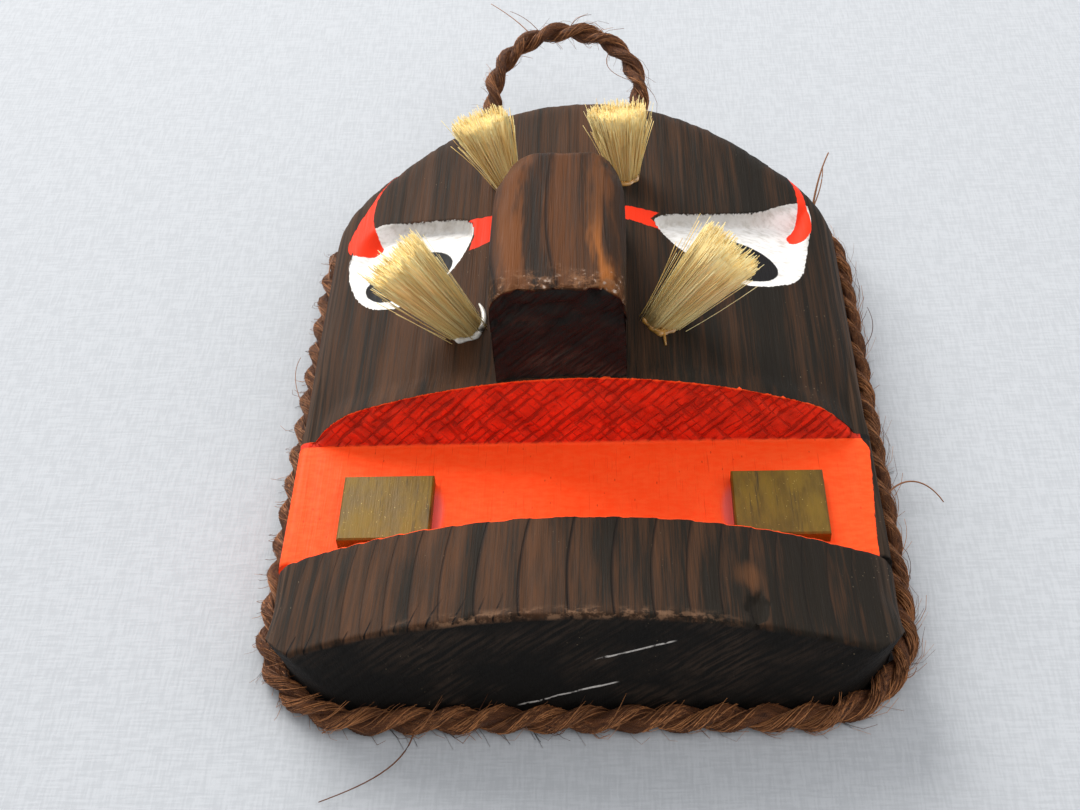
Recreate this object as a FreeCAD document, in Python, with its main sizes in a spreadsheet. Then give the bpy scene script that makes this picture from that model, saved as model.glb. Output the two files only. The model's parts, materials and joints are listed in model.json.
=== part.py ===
import FreeCAD, Part
import math
import os
import Sketcher

# An ogre-style wall mask: a thick domed cedar plank with an arched top, carved eyes, a mouth channel
# sawn right across it and a chin, with a glued nose block, two gold teeth, four fibre tufts, a rope
# round its back edge and a rope loop to hang it by. Millimetres, +Z up, face towards -Y.
# Each piece is drawn with heights counted from the chin's flat bottom and depths counted forwards
# from the flat back. Its Placement then puts the frame's origin at the middle of the back.

SIZES = {
    # plank
    "BoardWidth": 152.0,
    "BoardHeight": 209.0,
    "CrownRadius": 96.0,
    "ShoulderRadius": 38.0,
    "CornerRadius": 24.0,
    "CornerFrontRadius": 32.0,
    "EdgeRounding": 8.0,
    "CrownRounding": 13.0,
    "DomeRadius": 165.0,
    "FaceDepth": 38.5,
    "RidgeDepth": 41.0,
    "LipDepth": 36.0,
    # mouth channel
    "LipHeight": 33.0,
    "MouthTop": 72.5,
    "MouthFloorDepth": 18.0,
    # nose block
    "NoseCentre": -4.5,
    "NoseWidth": 32.5,
    "NoseTop": 143.0,
    "NoseTipDepth": 72.0,
    "NoseBrowHeight": 131.0,
    "NoseBrowDepth": 68.0,
    "NoseRounding": 5.0,
    "DowelRadius": 4.0,
    "DowelLength": 24.0,
    "DowelDepth": 24.0,
    "LowDowelHeight": 88.0,
    "HighDowelHeight": 118.0,
    # teeth
    "ToothWidth": 23.2,
    "ToothHeight": 21.0,
    "ToothThickness": 3.5,
    "ToothGap": 5.0,
    "ToothCentre": 49.6,
    "ToothChamfer": 0.4,
    # carved eyes
    "SocketFoot": 115.0,
    "SocketHead": 153.0,
    "SocketDepth": 5.0,
    # fibre tufts
    "WhiskerSpread": 25.8,
    "WhiskerHeight": 98.3,
    "WhiskerLength": 28.5,
    "WhiskerEndRadius": 9.2,
    "BrowSpread": 17.4,
    "BrowHeight": 161.0,
    "BrowLength": 23.0,
    "BrowEndRadius": 8.0,
    "TuftRootRadius": 3.2,
    "TuftPlugDepth": 8.0,
    "GlueBeadRadius": 4.6,
    # rope
    "RopeRadius": 3.2,
    "RopeButtGap": 0.4,
    "LoopCentre": -5.75,
    "LoopHalfSpan": 24.25,
    "LoopReach": 45.1,
    "LoopDepth": 12.0,
    "LoopPivotRise": 2.5,
    "LoopTilt": 25.0,
    "TailEnd": 186.0,
    "KnuckleRadius": 3.5,
    "TailPivotGap": 0.2,
    "BradRadius": 0.8,
    "BradLength": 20.0,
    "BradHeight": 195.0,
    "BradHeadRadius": 1.5,
    "BradHeadThickness": 0.8,
    # room left between glued pieces
    "GlueGap": 0.05,
}

# Each tuft: its kind in the sheet, its side of the nose, and its lean outwards and upwards from
# straight ahead, in degrees. They are set by hand, so the two sides differ.
TUFTS = {
    "whisker_tuft_left": ("Whisker", -1, 38.0, 5.0),
    "whisker_tuft_right": ("Whisker", 1, 38.0, 5.0),
    "brow_tuft_left": ("Brow", -1, 18.0, 5.0),
    "brow_tuft_right": ("Brow", 1, -5.0, 5.0),
}

doc = FreeCAD.newDocument("wall_mask")
sheet = doc.addObject("Spreadsheet::Sheet", "Sizes")
for row, (alias, value) in enumerate(SIZES.items(), start=1):
    sheet.set(f"A{row}", alias)
    sheet.set(f"B{row}", str(value))
    sheet.setAlias(f"B{row}", alias)
doc.recompute()

X_AXIS = FreeCAD.Vector(1, 0, 0)
Z_AXIS = FreeCAD.Vector(0, 0, 1)
UPRIGHT = FreeCAD.Rotation(X_AXIS, 90)  # turns a flat drawing upright: its normal then points to -Y
SIDEWAYS = FreeCAD.Rotation(Z_AXIS, X_AXIS)  # lays a standing cylinder along X
CUTTER_LENGTH = 120.0  # longer than any cut it has to make
TOLERANCE = 1e-3  # how near two sizes have to be to count as the same
sub_parts = []


def size(alias):
    """The value of one spreadsheet cell."""
    return float(getattr(sheet, alias))


def value_of(expression):
    """The number that a sheet expression gives."""
    return float(sheet.evalExpression(expression))


def bind(obj, **expressions):
    """Binds properties to sheet expressions; a double underscore in a name stands for a dot."""
    for name, expression in expressions.items():
        obj.setExpression(name.replace("__", "."), expression)


def finish_part(obj, label, height="-Sizes.BoardHeight / 2", depth=None, across=None):
    """Names a sub-part, moves it into the mask's frame and lists it for export."""
    obj.Label = label
    obj.setExpression(".Placement.Base.z", height)
    if depth:
        obj.setExpression(".Placement.Base.y", depth)
    if across:
        obj.setExpression(".Placement.Base.x", across)
    sub_parts.append(obj)
    return obj


def arc_between(start, end, radius, left_turn):
    """A circular arc from start to end that turns left or right on its way."""
    chord = end - start
    to_centre = math.sqrt(max(radius**2 - (chord.Length / 2) ** 2, 0))
    side = FreeCAD.Vector(-chord.y, chord.x, 0).normalize() * (1 if left_turn else -1)
    centre = (start + end) * 0.5 + side * to_centre
    first, last = (start, end) if left_turn else (end, start)
    angles = [math.atan2((p - centre).y, (p - centre).x) for p in (first, last)]
    circle = Part.Circle(centre, FreeCAD.Vector(0, 0, 1), radius)
    return Part.ArcOfCircle(circle, angles[0], angles[1])


def draw(sketch, corners, closed=True):
    """Draws a bound outline. A corner is (across, up) or (across, up, radius, "left" or "right"): the
    last two say that the run to the next corner is an arc. All sizes are sheet expressions."""
    points = [FreeCAD.Vector(value_of(c[0]), value_of(c[1]), 0) for c in corners]
    last_run = len(corners) if closed else len(corners) - 1
    runs = []
    for i in range(last_run):
        start, end = points[i], points[(i + 1) % len(points)]
        if len(corners[i]) == 2:
            line = sketch.addGeometry(Part.LineSegment(start, end), False)
            runs.append((line, 1, 2))
            continue
        left_turn = corners[i][3] == "left"
        arc = arc_between(start, end, value_of(corners[i][2]), left_turn)
        index = sketch.addGeometry(arc, False)
        runs.append((index, 1, 2) if left_turn else (index, 2, 1))
        radius = sketch.addConstraint(Sketcher.Constraint("Radius", index, arc.Radius))
        sketch.setExpression(f"Constraints[{radius}]", corners[i][2])
    for i, (index, start, end) in enumerate(runs):
        if closed or i + 1 < len(runs):
            follower, follower_start, _ = runs[(i + 1) % len(runs)]
            joined = Sketcher.Constraint("Coincident", index, end, follower, follower_start)
            sketch.addConstraint(joined)
        pin_point(sketch, index, start, points[i], corners[i])
    if not closed:
        index, _, end = runs[-1]
        pin_point(sketch, index, end, points[-1], corners[-1])
    return sketch


def pin_point(sketch, index, position, point, corner):
    """Holds one end of a run at its bound distances from the sketch's origin."""
    for kind, distance, expression in (
        ("DistanceX", point.x, corner[0]),
        ("DistanceY", point.y, corner[1]),
    ):
        constraint = Sketcher.Constraint(kind, -1, 1, index, position, distance)
        number = sketch.addConstraint(constraint)
        sketch.setExpression(f"Constraints[{number}]", expression)


def draw_circle(sketch, across, up, radius):
    """Draws one bound circle."""
    centre = FreeCAD.Vector(value_of(across), value_of(up), 0)
    circle = sketch.addGeometry(Part.Circle(centre, FreeCAD.Vector(0, 0, 1), value_of(radius)), False)
    number = sketch.addConstraint(Sketcher.Constraint("Radius", circle, value_of(radius)))
    sketch.setExpression(f"Constraints[{number}]", radius)
    pin_point(sketch, circle, 3, centre, (across, up))
    return sketch


def new_body(name):
    return doc.addObject("PartDesign::Body", name)


def body_sketch(body, role, name):
    """A new sketch on one of the body's own origin planes."""
    sketch = body.newObject("Sketcher::SketchObject", name)
    plane = [o for o in body.Origin.OriginFeatures if o.Role == role][0]
    sketch.AttachmentSupport = (plane, [""])
    sketch.MapMode = "FlatFace"
    return sketch


def free_sketch(name):
    """A new upright sketch outside any body, seen from the front."""
    sketch = doc.addObject("Sketcher::SketchObject", name)
    sketch.Placement = FreeCAD.Placement(FreeCAD.Vector(), UPRIGHT)
    return sketch


def extrude_forwards(sketch, name, expression=None):
    """Extrudes an upright sketch from the back plane towards the front."""
    solid = doc.addObject("Part::Extrusion", name)
    solid.Base = sketch
    solid.DirMode = "Custom"
    solid.Dir = FreeCAD.Vector(0, -1, 0)
    solid.Solid = True
    solid.LengthFwd = CUTTER_LENGTH
    if expression:
        bind(solid, LengthFwd=expression)
    return solid


def cylinder(name, radius, height, placement=None, **expressions):
    """A Part cylinder with bound radius and height."""
    solid = doc.addObject("Part::Cylinder", name)
    if placement:
        solid.Placement = placement
    bind(solid, Radius=radius, Height=height, **expressions)
    return solid


def cut(name, base, tools):
    """The base less every tool, one cut after another."""
    for number, tool in enumerate(tools, start=1):
        step = doc.addObject("Part::Cut", f"{name}_{number}")
        step.Base = base
        step.Tool = tool
        base = step
    return base


def group(name, members):
    """Separate solids kept as one sub-part."""
    compound = doc.addObject("Part::Compound", name)
    compound.Links = members
    return compound


# Plank: outline, domed front, chin and mouth

SHOULDER_X = "(Sizes.BoardWidth / 2 - Sizes.ShoulderRadius)"
CROWN_LEAN = f"({SHOULDER_X} / (Sizes.CrownRadius - Sizes.ShoulderRadius))"
CROWN_RISE = f"sqrt(1 - {CROWN_LEAN} ^ 2)"
CROWN_CENTRE = "(Sizes.BoardHeight - Sizes.CrownRadius)"
SHOULDER_Z = f"({CROWN_CENTRE} + (Sizes.CrownRadius - Sizes.ShoulderRadius) * {CROWN_RISE})"


def arch_points(offset):
    """Where the outline's arcs meet, moved outwards by offset: half width, and the crown's end."""
    half_width = f"(Sizes.BoardWidth / 2 + {offset})"
    crown_end_x = f"((Sizes.CrownRadius + {offset}) * {CROWN_LEAN})"
    crown_end_z = f"({CROWN_CENTRE} + (Sizes.CrownRadius + {offset}) * {CROWN_RISE})"
    return half_width, crown_end_x, crown_end_z


def dome(name, foot, depth, tilt, below, above):
    """A cylinder of the dome's radius, whose front line passes the given height and depth and leans
    back by tilt degrees. The line runs from below that point to above it by the lengths given."""
    placement = FreeCAD.Placement(FreeCAD.Vector(), FreeCAD.Rotation(-X_AXIS, value_of(tilt)))
    solid = cylinder(name, "Sizes.DomeRadius", f"{below} + {above}", placement)
    to_axis_y = f"Sizes.DomeRadius * cos({tilt})"
    to_axis_z = f"Sizes.DomeRadius * sin({tilt})"
    bind(
        solid,
        Placement__Rotation__Angle=tilt,
        Placement__Base__y=f"{to_axis_y} - ({depth}) - {below} * sin({tilt})",
        Placement__Base__z=f"{foot} - {to_axis_z} - {below} * cos({tilt})",
    )
    return solid


def dome_depth(across):
    """The upper dome's depth at a distance from the middle line."""
    return f"(Sizes.FaceDepth - Sizes.DomeRadius + sqrt(Sizes.DomeRadius ^ 2 - ({across}) ^ 2))"


def plank_blank():
    """The plank's outline with square bottom corners."""
    half_width, crown_end_x, crown_end_z = arch_points("0")
    sketch = draw(
        free_sketch("plank_outline"),
        [
            (f"-{half_width}", "0"),
            (half_width, "0"),
            (half_width, SHOULDER_Z, "Sizes.ShoulderRadius", "left"),
            (crown_end_x, crown_end_z, "Sizes.CrownRadius", "left"),
            (f"-{crown_end_x}", crown_end_z, "Sizes.ShoulderRadius", "left"),
            (f"-{half_width}", SHOULDER_Z),
        ],
    )
    return extrude_forwards(sketch, "plank_blank")


def mouth_cutter():
    """The saw channel right across the face."""
    box = doc.addObject("Part::Box", "mouth_channel")
    bind(
        box,
        Length="2 * Sizes.BoardWidth",
        Width="Sizes.RidgeDepth",
        Height="Sizes.MouthTop - Sizes.LipHeight",
        Placement__Base__x="-Sizes.BoardWidth",
        Placement__Base__y="-Sizes.MouthFloorDepth - Sizes.RidgeDepth",
        Placement__Base__z="Sizes.LipHeight",
    )
    return box


def corner_cutters():
    """What the two round bottom corners remove: a block at each corner less a post as deep as the
    rope and a cone that widens forwards from it, so that more wood is gone at the back."""
    inner = "(Sizes.BoardWidth / 2 - Sizes.CornerRadius)"
    cutters = []
    for side, middle, start in (
        ("left", f"-{inner}", f"-{inner} - 2 * Sizes.CornerRadius"),
        ("right", inner, inner),
    ):
        block = doc.addObject("Part::Box", f"corner_{side}_block")
        bind(
            block,
            Length="2 * Sizes.CornerRadius",
            Width="Sizes.RidgeDepth",
            Height="2 * Sizes.CornerRadius",
            Placement__Base__x=start,
            Placement__Base__y="-Sizes.RidgeDepth",
            Placement__Base__z="-Sizes.CornerRadius",
        )
        post = cylinder(
            f"corner_{side}_post",
            "Sizes.CornerRadius",
            "3 * Sizes.RopeRadius",
            FreeCAD.Placement(FreeCAD.Vector(), UPRIGHT),
            Placement__Base__x=middle,
            Placement__Base__z="Sizes.CornerRadius",
        )
        cone = doc.addObject("Part::Cone", f"corner_{side}_cone")
        cone.Placement = FreeCAD.Placement(FreeCAD.Vector(), UPRIGHT)
        bind(
            cone,
            Radius1="Sizes.CornerRadius",
            Radius2="Sizes.CornerFrontRadius",
            Height="Sizes.RidgeDepth - 2 * Sizes.RopeRadius",
            Placement__Base__x=middle,
            Placement__Base__y="-2 * Sizes.RopeRadius",
            Placement__Base__z="Sizes.CornerRadius",
        )
        cutters.append(cut(f"corner_{side}_waste", block, [post, cone]))
    return cutters


def is_dome(face):
    surface = face.Surface
    same_radius = isinstance(surface, Part.Cylinder)
    return same_radius and abs(surface.Radius - size("DomeRadius")) < TOLERANCE


def is_side_wall(face):
    """Whether a face is one of the outline's side or arch walls."""
    surface = face.Surface
    if isinstance(surface, Part.Plane):
        return abs(abs(surface.Axis.x) - 1) < TOLERANCE
    return isinstance(surface, Part.Cylinder) and abs(abs(surface.Axis.y) - 1) < TOLERANCE


def rim_edges(shape):
    """The edges where the domed front meets the side and arch walls: numbers and parameter ranges."""
    found = []
    for number, edge in enumerate(shape.Edges, start=1):
        faces = shape.ancestorsOfType(edge, Part.Face)
        if any(map(is_dome, faces)) and any(map(is_side_wall, faces)):
            found.append((number, edge.ParameterRange))
    return found


def rim_radius(point):
    """The rim's rounding at one end of an edge: wider once the outline has turned into the crown."""
    on_crown = point.z > value_of(arch_points("0")[2]) - TOLERANCE
    return size("CrownRounding") if on_crown else size("EdgeRounding")


def round_rim(name, base):
    """A Part fillet along the rim, growing over the shoulders."""
    fillet = doc.addObject("Part::Fillet", name)
    fillet.Base = base
    fillet.Edges = [
        (number, *(rim_radius(base.Shape.Edges[number - 1].valueAt(p)) for p in ends))
        for number, ends in rim_edges(base.Shape)
    ]
    return fillet


# Carved eyes: a wall under the brow, and a floor that slopes out to nothing at the lower edge.
# The outlines are (across, up) in millimetres, drawn round by hand, so the two sides differ.

LEFT_EYE = [
    ("-33.0", "145.5"),
    ("-61.7", "154.5", "26.0", "left"),
    ("-56.0", "115.0"),
    ("-45.5", "115.5"),
    ("-36.0", "126.0"),
    ("-31.0", "138.5"),
]
RIGHT_EYE = [
    ("22.0", "144.5"),
    ("37.0", "147.5"),
    ("57.0", "156.0"),
    ("67.5", "163.0"),
    ("65.0", "142.0"),
    ("60.5", "125.0", "20.0", "right"),
    ("43.0", "118.0"),
    ("28.5", "128.5"),
]


def eye_cutters():
    """The wood chipped out of each eye, in front of a dome that leans back."""
    tilt = "atan(Sizes.SocketDepth / (Sizes.SocketHead - Sizes.SocketFoot))"
    floor = dome(
        "socket_floor",
        "Sizes.SocketFoot",
        "Sizes.FaceDepth",
        tilt,
        "Sizes.SocketFoot",
        "Sizes.BoardHeight",
    )
    cutters = []
    for side, outline in (("left", LEFT_EYE), ("right", RIGHT_EYE)):
        sketch = draw(free_sketch(f"eye_{side}_outline"), outline)
        prism = extrude_forwards(sketch, f"eye_{side}_prism")
        cutters.append(cut(f"eye_{side}_chip", prism, [floor]))
    return cutters


# Nose dowels, in holes that run from the plank into the block


def dowels(name, gap, across="Sizes.NoseCentre"):
    """The two dowels, thicker and longer by gap. The nose's own drawing is centred, so there they
    stand at 0 across."""
    pegs = []
    for height in ("Low", "High"):
        peg = cylinder(
            f"{name}_{height.lower()}",
            f"Sizes.DowelRadius + {gap}",
            f"Sizes.DowelLength + 2 * {gap}",
            FreeCAD.Placement(FreeCAD.Vector(), UPRIGHT),
            Placement__Base__x=across,
            Placement__Base__y=f"-Sizes.DowelDepth + {gap}",
            Placement__Base__z=f"Sizes.{height}DowelHeight",
        )
        pegs.append(peg)
    return pegs


# Fibre tufts: each has a root plug in the plank and flares towards its cut end


def tuft_turn(name):
    """The rotation that points +Z along a tuft: forwards, leaning out to its side and upwards."""
    _, side, outwards, upwards = TUFTS[name]
    outwards, upwards = math.radians(outwards), math.radians(upwards)
    direction = FreeCAD.Vector(
        side * math.sin(outwards) * math.cos(upwards),
        -math.cos(outwards) * math.cos(upwards),
        math.sin(upwards),
    )
    return FreeCAD.Rotation(Z_AXIS, direction)


def tuft_root(name):
    """Sheet expressions for where a tuft leaves the dome."""
    kind, side = TUFTS[name][:2]
    sign = "+" if side > 0 else "-"
    across = f"(Sizes.NoseCentre {sign} Sizes.{kind}Spread)"
    return across, f"-{dome_depth(across)}", f"Sizes.{kind}Height"


def tuft(name):
    """One flared tuft, turned about its own axis."""
    kind = TUFTS[name][0]
    body = new_body(name)
    sketch = draw(
        body_sketch(body, "XZ_Plane", f"{name}_profile"),
        [
            ("0", "-Sizes.TuftPlugDepth"),
            ("Sizes.TuftRootRadius", "-Sizes.TuftPlugDepth"),
            ("Sizes.TuftRootRadius", "0"),
            (f"Sizes.{kind}EndRadius", f"Sizes.{kind}Length"),
            ("0", f"Sizes.{kind}Length"),
        ],
    )
    flare = body.newObject("PartDesign::Revolution", f"{name}_flare")
    flare.Profile = sketch
    flare.ReferenceAxis = (sketch, ["V_Axis"])
    flare.Angle = 360.0
    across, depth, height = tuft_root(name)
    body.Placement = FreeCAD.Placement(FreeCAD.Vector(), tuft_turn(name))
    return finish_part(body, name, f"{height} - Sizes.BoardHeight / 2", depth, across)


def tuft_room(name):
    """The room a tuft takes, with the glue gap round it."""
    kind = TUFTS[name][0]
    across, depth, height = tuft_root(name)
    turn = tuft_turn(name)
    plug = cylinder(
        f"{name}_room_plug",
        "Sizes.TuftRootRadius + Sizes.GlueGap",
        "Sizes.TuftPlugDepth + Sizes.GlueGap",
        FreeCAD.Placement(turn.multVec(-Z_AXIS) * (size("TuftPlugDepth") + size("GlueGap")), turn),
    )
    flare = doc.addObject("Part::Cone", f"{name}_room_flare")
    flare.Placement = FreeCAD.Placement(FreeCAD.Vector(), turn)
    bind(
        flare,
        Radius1="Sizes.TuftRootRadius + Sizes.GlueGap",
        Radius2=f"Sizes.{kind}EndRadius + Sizes.GlueGap",
        Height=f"Sizes.{kind}Length",
    )
    room = doc.addObject("Part::Fuse", f"{name}_room")
    room.Base = plug
    room.Tool = flare
    bind(room, Placement__Base__x=across, Placement__Base__y=depth, Placement__Base__z=height)
    return room


def glue_bead(name, room, ground):
    """The ring of glue at a tuft's root: a ball less the plank's front and the tuft's room."""
    across, depth, height = tuft_root(name)
    ball = doc.addObject("Part::Sphere", f"{name}_ball")
    bind(
        ball,
        Radius="Sizes.GlueBeadRadius",
        Placement__Base__x=across,
        Placement__Base__y=depth,
        Placement__Base__z=height,
    )
    return cut(f"{name}_bead", ball, [ground, room])


# Rope: the loop's tails stand in holes in the top edge, each crossed by a brad from the back

TAIL_SIDES = {"left": "-", "right": "+"}


def tail(name, side, gap, top):
    """One upright tail of the loop, thicker by gap and ending at the height top."""
    return cylinder(
        f"{name}_{side}",
        f"Sizes.RopeRadius + {gap}",
        f"{top} - Sizes.TailEnd + {gap}",
        Placement__Base__x=f"Sizes.LoopCentre {TAIL_SIDES[side]} Sizes.LoopHalfSpan",
        Placement__Base__y="-Sizes.LoopDepth",
        Placement__Base__z=f"Sizes.TailEnd - {gap}",
    )


def brad(name, side, gap):
    """One headed brad, thicker and longer by gap, flush with the back."""
    pieces = []
    for part, radius, length in (
        ("shank", "Sizes.BradRadius", "Sizes.BradLength"),
        ("head", "Sizes.BradHeadRadius", "Sizes.BradHeadThickness"),
    ):
        piece = cylinder(
            f"{name}_{side}_{part}",
            f"{radius} + {gap}",
            f"{length} + {gap}",
            FreeCAD.Placement(FreeCAD.Vector(), UPRIGHT),
            Placement__Base__x=f"Sizes.LoopCentre {TAIL_SIDES[side]} Sizes.LoopHalfSpan",
            Placement__Base__z="Sizes.BradHeight",
        )
        pieces.append(piece)
    whole = doc.addObject("Part::Fuse", f"{name}_{side}")
    whole.Base, whole.Tool = pieces
    return whole


# The plank, with every hole in it

face_dome = dome(
    "face_dome",
    "Sizes.MouthTop - Sizes.MouthFloorDepth",
    "Sizes.FaceDepth",
    "0",
    "0",
    "Sizes.BoardHeight",
)
chin_lean = "atan((Sizes.RidgeDepth - Sizes.LipDepth) / Sizes.LipHeight)"
chin_dome = dome(
    "chin_dome", "0", "Sizes.RidgeDepth", chin_lean, "Sizes.LipHeight", "Sizes.MouthTop"
)
front_form = doc.addObject("Part::Fuse", "front_form")
front_form.Base = chin_dome
front_form.Tool = face_dome
domed_blank = doc.addObject("Part::Common", "domed_blank")
domed_blank.Base = plank_blank()
domed_blank.Tool = front_form
open_mouth = cut("open_mouth", domed_blank, [mouth_cutter()])
doc.recompute()
rounded = round_rim("rounded_plank", open_mouth)
rooms = {name: tuft_room(name) for name in TUFTS}
tail_holes = [
    tail("tail_hole", side, "Sizes.GlueGap", "2 * Sizes.BoardHeight") for side in TAIL_SIDES
]
brad_holes = [brad("brad_hole", side, "Sizes.GlueGap") for side in TAIL_SIDES]
dowel_holes = dowels("dowel_hole", "Sizes.GlueGap")
board_tools = [*corner_cutters(), *eye_cutters(), *rooms.values(), *tail_holes, *brad_holes]
finish_part(cut("face_board", rounded, [*board_tools, *dowel_holes]), "face_board")

# Nose: a block whose back is hollowed to sit on the dome

nose = new_body("nose_blank")
side_view = draw(
    body_sketch(nose, "YZ_Plane", "nose_side_view"),
    [
        ("-Sizes.MouthFloorDepth", "Sizes.MouthTop"),
        ("-Sizes.MouthFloorDepth", "Sizes.NoseTop"),
        ("-Sizes.NoseBrowDepth + Sizes.NoseTop - Sizes.NoseBrowHeight", "Sizes.NoseTop",
         "Sizes.NoseTop - Sizes.NoseBrowHeight", "left"),
        ("-Sizes.NoseBrowDepth", "Sizes.NoseBrowHeight"),
        ("-Sizes.NoseTipDepth", "Sizes.MouthTop"),
    ],
)
nose_pad = nose.newObject("PartDesign::Pad", "nose_pad")
nose_pad.Profile = side_view
nose_pad.Midplane = True
nose_pad.setExpression("Length", "Sizes.NoseWidth")
seat_sketch = draw_circle(
    body_sketch(nose, "XY_Plane", "nose_seat_circle"),
    "-Sizes.NoseCentre",
    "Sizes.DomeRadius - Sizes.FaceDepth",
    "Sizes.DomeRadius + Sizes.GlueGap",
)
nose_seat = nose.newObject("PartDesign::Pocket", "nose_seat")
nose_seat.Profile = seat_sketch
nose_seat.Type = "ThroughAll"
nose_seat.Midplane = True
doc.recompute()


def body_edges(feature, wanted):
    """Names of the feature's edges that the test accepts, judged by their middle and direction."""
    names = []
    for number, edge in enumerate(feature.Shape.Edges, start=1):
        middle = edge.valueAt((edge.FirstParameter + edge.LastParameter) / 2)
        if wanted(middle, edge.BoundBox):
            names.append(f"Edge{number}")
    return names


def on_nose_front(middle, box):
    """The long edges up the front of the block, over its brow and along its top."""
    on_side = box.XLength < TOLERANCE
    on_bottom = box.ZLength < TOLERANCE and middle.z < size("NoseTop") - TOLERANCE
    on_seat = middle.y > -size("FaceDepth") - TOLERANCE
    return on_side and not on_bottom and not on_seat


def fillet_body(body, name, base, wanted, radius):
    """A fillet with a bound radius on the edges that the test accepts."""
    fillet = body.newObject("PartDesign::Fillet", name)
    fillet.Base = (base, body_edges(base, wanted))
    fillet.setExpression("Radius", radius)
    doc.recompute()
    return fillet


fillet_body(nose, "nose_rounding", nose_seat, on_nose_front, "Sizes.NoseRounding")
finish_part(
    cut("nose_with_holes", nose, dowels("nose_dowel_hole", "Sizes.GlueGap", "0")),
    "nose_block",
    across="Sizes.NoseCentre",
)
finish_part(group("nose_dowels", dowels("nose_dowel", "0")), "nose_dowels")

# Teeth: square plates standing on the mouth's floor

for side_name, sign in (("left", "-"), ("right", "")):
    tooth = new_body(f"tooth_{side_name}")
    half_width = "Sizes.ToothWidth / 2"
    foot = "(Sizes.LipHeight + Sizes.ToothGap)"
    plate_outline = draw(
        body_sketch(tooth, "XZ_Plane", f"tooth_{side_name}_outline"),
        [
            (f"-{half_width}", foot),
            (half_width, foot),
            (half_width, f"{foot} + Sizes.ToothHeight"),
            (f"-{half_width}", f"{foot} + Sizes.ToothHeight"),
        ],
    )
    plate = tooth.newObject("PartDesign::Pad", f"tooth_{side_name}_plate")
    plate.Profile = plate_outline
    plate.setExpression("Length", "Sizes.ToothThickness")
    doc.recompute()
    front_edges = body_edges(plate, lambda middle, box: box.YMax < -size("ToothThickness") / 2)
    chamfer = tooth.newObject("PartDesign::Chamfer", f"tooth_{side_name}_chamfer")
    chamfer.Base = (plate, front_edges)
    chamfer.setExpression("Size", "Sizes.ToothChamfer")
    finish_part(
        tooth,
        tooth.Label,
        depth="-Sizes.MouthFloorDepth",
        across=f"{sign}Sizes.ToothCentre",
    )

# Tufts and the glue round their roots

ground = dome(
    "glue_ground",
    "0",
    "Sizes.FaceDepth + Sizes.GlueGap",
    "0",
    "0",
    "Sizes.BoardHeight",
)
for name in TUFTS:
    tuft(name)
beads = [glue_bead(name, room, ground) for name, room in rooms.items()]
finish_part(group("tuft_glue_beads", beads), "tuft_glue_beads")

# Rope border: one length round the outline against the back, its ends butted at the crown

border = new_body("rope_border")
rope_offset = "(Sizes.RopeRadius + Sizes.GlueGap)"
half_width, crown_end_x, crown_end_z = arch_points(rope_offset)
side_radius = f"Sizes.ShoulderRadius + {rope_offset}"
crown_radius = f"Sizes.CrownRadius + {rope_offset}"
corner_radius = f"Sizes.CornerRadius + {rope_offset}"
corner_x = "(Sizes.BoardWidth / 2 - Sizes.CornerRadius)"
crown_top = f"(Sizes.BoardHeight + {rope_offset})"
border_path = draw(
    body_sketch(border, "XZ_Plane", "border_path"),
    [
        ("0", crown_top, crown_radius, "left"),
        (f"-{crown_end_x}", crown_end_z, side_radius, "left"),
        (f"-{half_width}", SHOULDER_Z),
        (f"-{half_width}", "Sizes.CornerRadius", corner_radius, "left"),
        (f"-{corner_x}", f"-{rope_offset}"),
        (corner_x, f"-{rope_offset}", corner_radius, "left"),
        (half_width, "Sizes.CornerRadius"),
        (half_width, SHOULDER_Z, side_radius, "left"),
        (crown_end_x, crown_end_z, crown_radius, "left"),
        ("Sizes.RopeButtGap", f"{CROWN_CENTRE} + sqrt(({crown_radius}) ^ 2 - Sizes.RopeButtGap ^ 2)"),
    ],
    closed=False,
)
border_section = draw_circle(
    body_sketch(border, "YZ_Plane", "border_section"), "0", crown_top, "Sizes.RopeRadius"
)


def rope_along(body, name, section, path):
    """A round rope of one section along a path."""
    rope = body.newObject("PartDesign::AdditivePipe", name)
    rope.Profile = section
    rope.Spine = (path, [f"Edge{i + 1}" for i in range(len(path.Shape.Edges))])
    doc.recompute()
    return rope


doc.recompute()
rope_along(border, "border_rope", border_section, border_path)
finish_part(border, "rope_border", depth="-Sizes.RopeRadius")

# Hanging loop: two legs and an arch, with a round knuckle at each root on the line it swings about

loop = new_body("hanging_loop")
half_span = "Sizes.LoopHalfSpan"
leg_top = "(Sizes.LoopReach - Sizes.LoopHalfSpan)"
loop_path = draw(
    body_sketch(loop, "XZ_Plane", "loop_path"),
    [
        (f"-{half_span}", "0"),
        (f"-{half_span}", leg_top, half_span, "right"),
        ("0", "Sizes.LoopReach", half_span, "right"),
        (half_span, leg_top),
        (half_span, "0"),
    ],
    closed=False,
)
loop_section = draw_circle(
    body_sketch(loop, "XY_Plane", "loop_section"), f"-{half_span}", "0", "Sizes.RopeRadius"
)
doc.recompute()
rope_along(loop, "loop_rope", loop_section, loop_path)
for side_name, sign in (("left", "-"), ("right", "")):
    knuckle = loop.newObject("PartDesign::AdditiveCylinder", f"loop_knuckle_{side_name}")
    knuckle.Placement = FreeCAD.Placement(FreeCAD.Vector(), SIDEWAYS)
    bind(
        knuckle,
        Radius="Sizes.KnuckleRadius",
        Height="2 * Sizes.KnuckleRadius",
        Placement__Base__x=f"{sign}{half_span} - Sizes.KnuckleRadius",
    )
loop.Placement = FreeCAD.Placement(FreeCAD.Vector(), FreeCAD.Rotation(X_AXIS, size("LoopTilt")))
finish_part(
    loop,
    "hanging_loop",
    height="Sizes.BoardHeight / 2 + Sizes.LoopPivotRise",
    depth="-Sizes.LoopDepth",
    across="Sizes.LoopCentre",
)

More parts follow.
